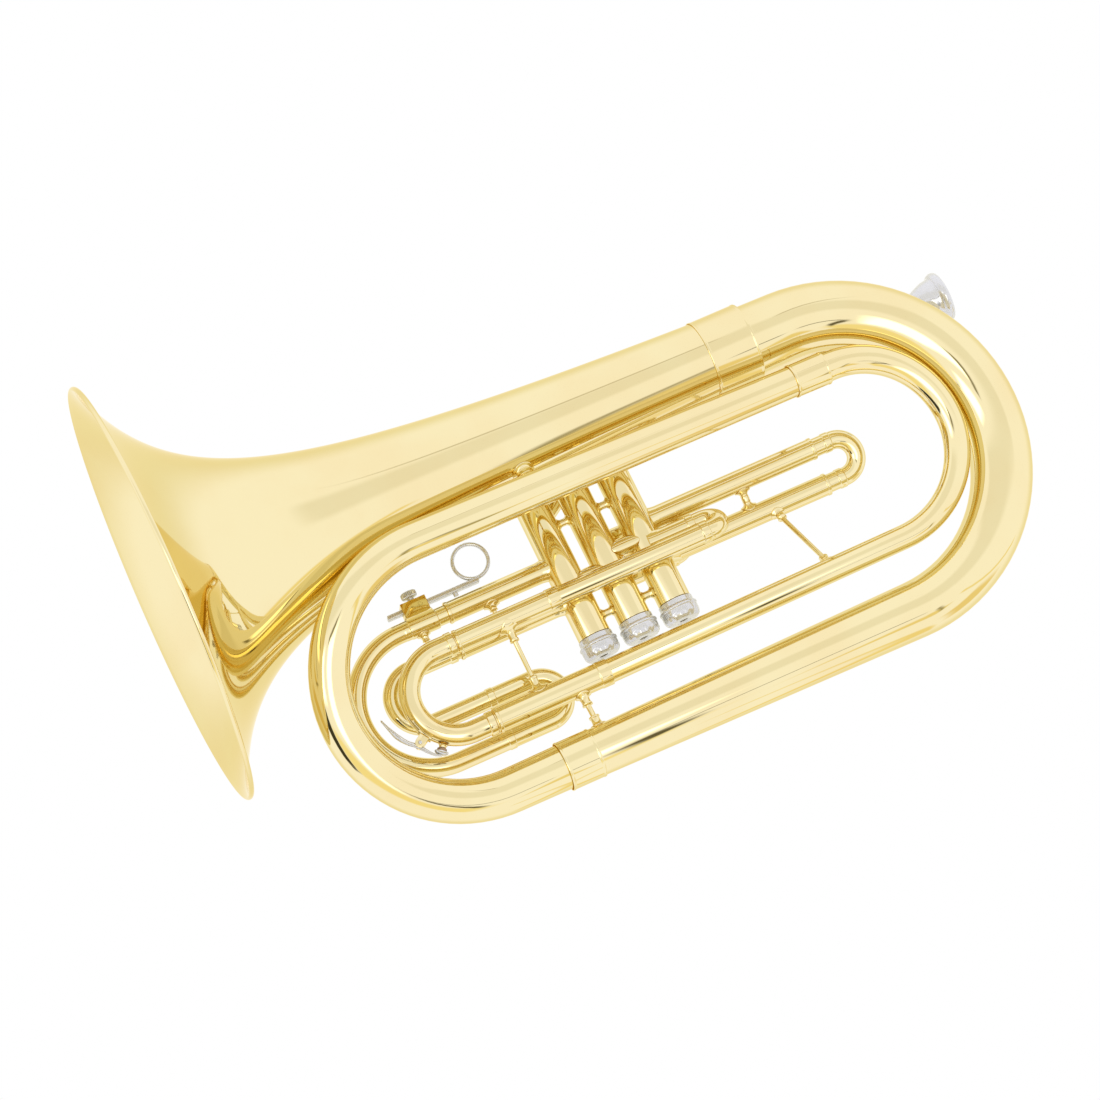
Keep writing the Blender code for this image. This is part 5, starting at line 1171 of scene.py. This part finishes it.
class HORN_OT_finger_ring(bpy.types.Operator):
    """Make the third slide's ring on its bar, the block that holds it and the thumb screw"""

    bl_idname = "horn.finger_ring"
    bl_label = "Finger Ring"

    def holder(self):
        """A block round a slot.

        For each angle about the slot's middle it has the points where the outside and the slot's wall lie.
        """
        y, half, top_z = VALVE_Y, RING_BLOCK_HALF, RING_BLOCK_TOP_Z
        seat = THIRD_TUBES[0][2] + 0.05
        turn = np.linspace(0.74, -0.74, 15)
        saddle = np.stack([y + seat * np.sin(turn), THIRD_TOP_Z + seat * np.cos(turn)], axis=1)
        outside = [(y - half, top_z), (y + half, top_z), (y + half, saddle[0, 1]), *saddle]
        outside.append((y - half, saddle[-1, 1]))
        slot_half, slot_low, slot_high = BAR_HALF + BAR_PLAY, BAR_Z[0] - BAR_PLAY, BAR_Z[1] + BAR_PLAY
        slot = rectangle(y - slot_half, y + slot_half, slot_high, slot_low)
        centre = np.array((y, (BAR_Z[0] + BAR_Z[1]) / 2))
        outlines = [np.array(outside), np.array(slot)]
        corners = [np.arctan2(*(outline - centre).T[::-1]) for outline in outlines]
        angle = np.concatenate([np.linspace(-np.pi, np.pi, 96, endpoint=False), *corners])
        angle = np.unique(np.round(angle, 5))
        way = np.stack([np.cos(angle), np.sin(angle)], axis=1)
        outer, inner = (reach_outline(angle, outline, centre)[:, None] for outline in outlines)
        start, end = RING_BLOCK_X
        edge = 0.5
        near = edge * 0.3
        rows = []
        for x, reach, inset in (
            (start, outer, edge), (start + near, outer, near), (start + edge, outer, 0),
            (end - edge, outer, 0), (end - near, outer, near), (end, outer, edge), (end, inner, 0),
            (start, inner, 0),
        ):
            rows.append(np.column_stack([np.full(len(angle), x), centre + (reach - inset) * way]))
        return np.vstack(rows), grid_faces(len(rows), len(angle), True)

    def skirt(self, half, reach, rise):
        """A strip that hugs the tube under the block: rings round its section, at angles across the tube."""
        turn = np.radians(np.linspace(-reach, reach, 25))[:, None]
        low = THIRD_TUBES[0][2]
        section = softened(rectangle(-half, half, low, rise))
        along, radius = section[None, :, 0], section[None, :, 1]
        y, z = VALVE_Y + radius * np.sin(turn), radius * np.cos(turn) + THIRD_TOP_Z
        return capped(np.stack(np.broadcast_arrays(SCREW_X + along, y, z), axis=-1))

    def hoop(self):
        """A ring of oval wire: middle + (r cos a, wide * sin b, r sin a), with r = radius + thick * cos b."""
        thick, wide, rings, sides = 1.3, 1.6, 96, 20
        angle, around = full_turn(rings)[:, None], full_turn(sides)
        reach = RING_RADIUS + thick * np.cos(around)
        parts = np.broadcast_arrays(reach * np.cos(angle), wide * np.sin(around), reach * np.sin(angle))
        return (np.stack(parts, axis=-1) + RING_MIDDLE).reshape(-1, 3), grid_faces(rings, sides, True)

    def execute(self, context):
        block_pieces = (self.holder(), self.skirt(9.4, 74, 7.75), self.skirt(8.9, 52, 8.6))
        add_piece("finger_ring_block", *block_pieces, sharp=30)
        bar = block(*([(x, VALVE_Y + side * BAR_HALF, z) for x, side, z in zip(BAR_X, (-1, 1), BAR_Z)]), 0.55)
        foot = [(0, 0), (1.7, 0), (1.7, 3.6), (2.1, 4.2), (0, 4.2)]
        foot = turned((178, VALVE_Y, -66.0), Z_AXIS, foot, 28, False)
        solder = [(0, 0), (2.9, 0), (2.4, 0.7), (1.6, 1.5), (0, 1.8)]
        solder = turned((195.0, VALVE_Y, -61.0), Z_AXIS, solder, 28, False, 0.4)
        add_piece("finger_ring", bar, self.hoop(), foot, solder)
        screw = [
            (0, 9.4, 0), (1.2, 9.4, 0), (3.9, 9.6, 0), (4.7, 9.5, 0.3), (5.3, 8.9, 1), (5.3, 6.2, 1),
            (4.7, 5.5, 0.3), (3.4, 5.3, 0), (2.6, 5.0, 0), (2.3, 4.2, 0), (2.9, 3.4, 0), (2.9, 3.1, 0),
            (1.5, 3.1, 0), (1.5, 0.1, 0), (0, 0.1, 0),
        ]
        ripple = (detail().screw_ridges, 0.7)
        surface = turned((SCREW_X, VALVE_Y, BAR_Z[1]), Z_AXIS, screw, 208, False, ripple=ripple)
        add_piece("thumb_screw", surface)
        return {"FINISHED"}


class HORN_OT_water_key(bpy.types.Operator):
    """Make the water key with its saddle, pin, nipple and cork"""

    bl_idname = "horn.water_key"
    bl_label = "Water Key"

    def saddle(self, foot, out):
        """Two ears with round heads, on a strip that hugs the bow between two heights."""
        head, thickness = 3.1, 1.4
        turn = np.radians(np.linspace(0, 180, 21))
        outline = np.stack([head * np.cos(turn), KEY_PIVOT_HEIGHT + head * np.sin(turn)], axis=1)
        outline = np.vstack([outline, (-head, 0.2), (head, 0.2)])
        along = np.cross(Y_AXIS, out)
        ears = [plate(outline, foot + Y_AXIS * side * 3.3, along, out, thickness) for side in (-1, 1)]
        around, lean = np.linspace(KEY_ANGLE - 7.5, KEY_ANGLE + 7.5, 15)[:, None], np.linspace(-42, 42, 19)
        low, high = (on_main_bow(around, height, lean) for height in (0.15, 1.25))
        strip = capped(np.concatenate([low, high[:, ::-1]], axis=1))
        add_piece("water_key_saddle", *ears, strip)

    def arm(self):
        """A leaf along a curve from the cup over the pivot to the touch, with an ellipse across it."""
        knots = [
            on_main_bow(*knot) for knot in (
                (234, 7.0), (228, 7.6), (221, 7.3), (KEY_ANGLE, 7.2), (204, 9.5), (195, 11.5), (186, 13),
                (178, 15),
            )
        ]
        line = Route(curve_through(knots, 10))
        t = line.along / line.length
        round_off = np.sqrt(np.clip(1 - ((t - 0.8) / 0.2).clip(0, 1) ** 2, 0, 1))
        wide = (1.7 + 2.6 * hump(t, 0.66, 0.2)) * round_off
        deep = 0.6 + 0.8 * hump(t, 0.36, 0.2) + 0.8 * hump(t, 0.68, 0.16)
        wide, deep = np.concatenate([[0], wide]), np.concatenate([deep[:1], deep])
        profile = np.column_stack([np.concatenate([[0], line.along]), wide])
        points, faces = swept(line, profile, 28, closed=False)
        rings = points.reshape(-1, 28, 3)
        middle = rings.mean(1, keepdims=True)
        across = (rings - middle)[..., 1:2] * Y_AXIS
        thick = rings - middle - across
        flatten = np.minimum(deep / np.maximum(wide, 0.01), 1.0)[:, None, None]
        return (middle + across + thick * flatten).reshape(-1, 3), faces

    def execute(self, context):
        foot, pivot = on_main_bow(KEY_ANGLE, 0), on_main_bow(KEY_ANGLE, KEY_PIVOT_HEIGHT)
        self.saddle(foot, unit(pivot - foot))
        pin = [
            (0, 9.2), (0.8, 9.2), (1.3, 8.9), (1.3, 8.7), (0.9, 8.6), (0.9, 0.6), (1.3, 0.5), (1.3, 0.3),
            (0.8, 0), (0, 0),
        ]
        pin = turned(pivot - Y_AXIS * 4.6, Y_AXIS, pin, 28, False, 0.15)
        add_piece("water_key_pin", pin)
        nipple_foot = on_main_bow(CORK_ANGLE, 0.1)
        outward = unit(nipple_foot - on_main_bow(CORK_ANGLE, -5))
        nipple = [(2.0, 2.2), (2.3, 1.9), (2.4, 0.9), (3.2, 0), (1.2, 0), (1.2, 2.2)]
        add_piece("water_key_nipple", turned(nipple_foot, outward, nipple, 36, soft=0.2))
        cork = [(0, 2.5), (3.1, 2.5), (3.1, 0), (0, 0)]
        cork = turned(on_main_bow(CORK_ANGLE, 2.6), outward, cork, 36, False, 0.35)
        add_piece("water_key_cork", cork)
        cup = [(0, 2.3), (2.0, 2.1), (3.8, 1.5), (4.5, 0.7), (4.5, 0), (3.3, 0), (3.3, 0.7), (0, 0.7)]
        cup = turned(on_main_bow(CORK_ANGLE, 4.5), outward, cup, 40, False)
        hub = turned(pivot - Y_AXIS * 2.3, Y_AXIS, [(0, 4.6), (2.3, 4.6), (2.3, 0), (0, 0)], 32, False)
        add_piece("water_key_lever", cup, hub, self.arm())
        return {"FINISHED"}


# Stage

IMAGE_TURN = math.radians(23.58)
SIDE_ANGLE = math.radians(10.94)
RISE_ANGLE = math.radians(13.63)
FOCAL_PIXELS = 4166.0
RIM_PIXEL = np.array((157.6, 595.2))
FRAME_PIXELS = 1100

# Lighter and darker places of the white surround, each one over those before it. A row holds the light, the
# first and last turn, the rise at the middle turn with its lean and bend, the half height at the first and at
# the last turn, and the softness of the edge. Turns and rises are degrees from the camera.
SURROUND_PLACES = (
    ((1.07, 1.06, 1.14), (-55, 46), (30, 0.1, 0), (16, 14), 5),
    ((0.7, 0.66, 0.62), (10, 37), (53.7, 0.6, 0), (1.5, -0.8), 1.6),
    ((2.7, 2.7, 2.8), (-46, -26), (-8, 0.1, 0), (9, 10), 3),
    ((2.7, 2.7, 2.8), (-9, 15), (-11, -0.2, 0), (13, 14), 3),
    ((1.16, 1.03, 0.62), (-42, 33), (-42, 0.0, 0), (12, 10), 4),
    ((0.06, 0.055, 0.035), (-68, -44), (-36, 0.0, 0), (13, 15), 2),
    ((0.1, 0.085, 0.05), (-64, -42), (-51.5, -0.1, 0), (2.5, 0.5), 1.5),
    ((0.16, 0.14, 0.09), (20, 30), (-26, -1.2, 0), (3, 3), 2),
    ((0.12, 0.11, 0.08), (21, 34), (-16, 0.3, 0), (0.8, 0.8), 1.2),
    ((1.06, 0.9, 0.5), (40, 50), (-27, 0.2, 0), (7, 5), 2),
    ((0.45, 0.4, 0.27), (39, 50), (-21.5, -1.0, 0), (1.2, 1.2), 1.5),
    ((0.3, 0.27, 0.2), (-14, 4), (5, 0.1, 0), (1.5, 2), 1.5),
    ((1.1, 0.94, 0.52), (45, 104), (-19, 0.0, 0.0085), (1.0, 1.4), 1),
    ((1.04, 0.86, 0.47), (74, 106), (-34, 0.0, 0), (8, 11), 4),
    ((1.1, 0.94, 0.52), (62, 145), (-52, 0.05, 0), (0.8, 2.5), 1.5),
)
REAR_LIGHT = (1.05, 1.02, 0.92)


def camera_axes():
    """(right, up, back) of the camera, from its side and rise angles and its turn in the picture."""
    flat = math.cos(RISE_ANGLE)
    back = -np.array((math.sin(SIDE_ANGLE) * flat, math.cos(SIDE_ANGLE) * flat, math.sin(RISE_ANGLE)))
    level = unit(X_AXIS - (X_AXIS @ back) * back)
    high = np.cross(back, level)
    right = math.cos(IMAGE_TURN) * level - math.sin(IMAGE_TURN) * high
    up = math.sin(IMAGE_TURN) * level + math.cos(IMAGE_TURN) * high
    return right, up, back


class HORN_OT_stage(bpy.types.Operator):
    """Make the pale floor, the white surround with its dark edges, and the camera"""

    bl_idname = "horn.stage"
    bl_label = "Stage"

    def floor(self, settings):
        mesh = bpy.data.meshes.new("studio_floor")
        reach, z = 12, -settings.floor_drop
        corners = [(x, y, z) for x, y in rectangle(-reach, reach, -reach, reach)]
        mesh.from_pydata(corners, [], [(0, 1, 2, 3)])
        made = bpy.data.materials.new("pale_floor")
        made.use_nodes = True
        shader = made.node_tree.nodes["Principled BSDF"]
        shader.inputs["Base Color"].default_value = (0.9, 0.9, 0.9, 1)
        shader.inputs["Roughness"].default_value = 0.9
        mesh.materials.append(made)
        floor = bpy.data.objects.new("studio_floor", mesh)
        bpy.context.scene.collection.objects.link(floor)
        floor.visible_glossy = False

    def surround(self, settings):
        """White all round, with the brighter, warmer and darker places that the polished brass shows.

        A place is a box in (turn, rise), the degrees to the right of the camera and above it, whose height
        may lean, bend and narrow with the turn. Its mask is the product of two soft steps over the turn and
        one over |rise - middle(turn)| - half(turn).
        """
        world = bpy.data.worlds.new("white_studio")
        world.use_nodes = True
        bpy.context.scene.world = world
        bench = NodeBench(world.node_tree)
        math_node, mapped, mixed = bench.math, bench.mapped, bench.mixed
        way = bench.add("ShaderNodeTexCoord").outputs["Generated"]
        dot = {"operation": "DOT_PRODUCT"}
        side, high, front = (
            bench.add("ShaderNodeVectorMath", dot, i0=way, i1=tuple(axis)).outputs["Value"]
            for axis in camera_axes()
        )
        turn = math_node("MULTIPLY", math_node("ARCTAN2", side, front), 180 / math.pi)
        rise = math_node("MULTIPLY", math_node("ARCSINE", high), 180 / math.pi)
        light = mixed(mapped(front, -0.85, -0.25, 1.0, 0.0), (*settings.white, 1), (*REAR_LIGHT, 1))
        for colour, (first, last), (middle, lean, bend), (near, far), soft in SURROUND_PLACES:
            after_first = mapped(turn, first - soft, first + soft)
            before_last = mapped(turn, last - soft, last + soft, 1.0, 0.0)
            offset = math_node("SUBTRACT", turn, (first + last) / 2)
            curve = math_node("MULTIPLY_ADD", offset, math_node("MULTIPLY_ADD", offset, bend, lean), middle)
            away = math_node("ABSOLUTE", math_node("SUBTRACT", rise, curve))
            past = math_node("SUBTRACT", away, mapped(turn, first, last, near, far))
            mask = math_node("MULTIPLY", after_first, before_last)
            mask = math_node("MULTIPLY", mask, mapped(past, -soft, soft, 1.0, 0.0))
            light = mixed(mask, light, (*colour, 1))
        seen = bench.add("ShaderNodeLightPath").outputs["Is Camera Ray"]
        shader = bench.add("ShaderNodeBackground", None, Color=mixed(seen, light, (1, 1, 1, 1)))
        bench.add("ShaderNodeOutputWorld", None, Surface=shader.outputs[0])

    def camera(self, settings):
        right, up, back = camera_axes()
        distance = settings.camera_distance / MM
        across, down = (RIM_PIXEL - FRAME_PIXELS / 2) * distance / FOCAL_PIXELS
        place = (distance * back - across * right + down * up - GRIP) * MM
        data = bpy.data.cameras.new("view_camera")
        data.sensor_width = 36
        data.lens = settings.lens
        data.clip_end = 100
        camera = bpy.data.objects.new("view_camera", data)
        turn = Matrix((right, up, back)).transposed().to_4x4()
        camera.matrix_world = Matrix.Translation(Vector(place)) @ turn
        bpy.context.scene.collection.objects.link(camera)
        bpy.context.scene.camera = camera

    def execute(self, context):
        settings = context.scene.horn_stage
        self.floor(settings)
        self.surround(settings)
        self.camera(settings)
        context.scene.view_settings.view_transform = "Standard"
        return {"FINISHED"}


class HORN_PT_panel(bpy.types.Panel):
    """Lists the horn's settings and pieces"""

    bl_label = "Horn"
    bl_idname = "HORN_PT_panel"
    bl_space_type = "VIEW_3D"
    bl_region_type = "UI"
    bl_category = "Horn"

    def draw(self, context):
        for name in SETTINGS:
            settings = getattr(context.scene, name)
            box = self.layout.box()
            for key in settings.bl_rna.properties.keys():
                if key not in ("rna_type", "name"):
                    box.prop(settings, key)
        for operator in OPERATORS:
            self.layout.operator(operator.bl_idname)


OPERATORS = (
    HORN_OT_finishes,
    HORN_OT_stage,
    HORN_OT_bell,
    HORN_OT_main_wrap,
    HORN_OT_main_slide,
    HORN_OT_valve_slides,
    HORN_OT_braces,
    HORN_OT_valves,
    HORN_OT_pistons,
    HORN_OT_leadpipe,
    HORN_OT_finger_ring,
    HORN_OT_water_key,
)
SETTINGS = {
    "horn_finish": HornFinishSettings,
    "horn_detail": HornDetailSettings,
    "horn_stage": HornStageSettings,
}


def register():
    for group in (*SETTINGS.values(), *OPERATORS, HORN_PT_panel):
        bpy.utils.register_class(group)
    for name, group in SETTINGS.items():
        setattr(bpy.types.Scene, name, PointerProperty(type=group))


def unregister():
    for name in SETTINGS:
        delattr(bpy.types.Scene, name)
    for group in (HORN_PT_panel, *reversed(OPERATORS), *SETTINGS.values()):
        bpy.utils.unregister_class(group)


def main():
    register()
    for operator in OPERATORS:
        family, name = operator.bl_idname.split(".")
        getattr(getattr(bpy.ops, family), name)()


if __name__ == "__main__":
    main()
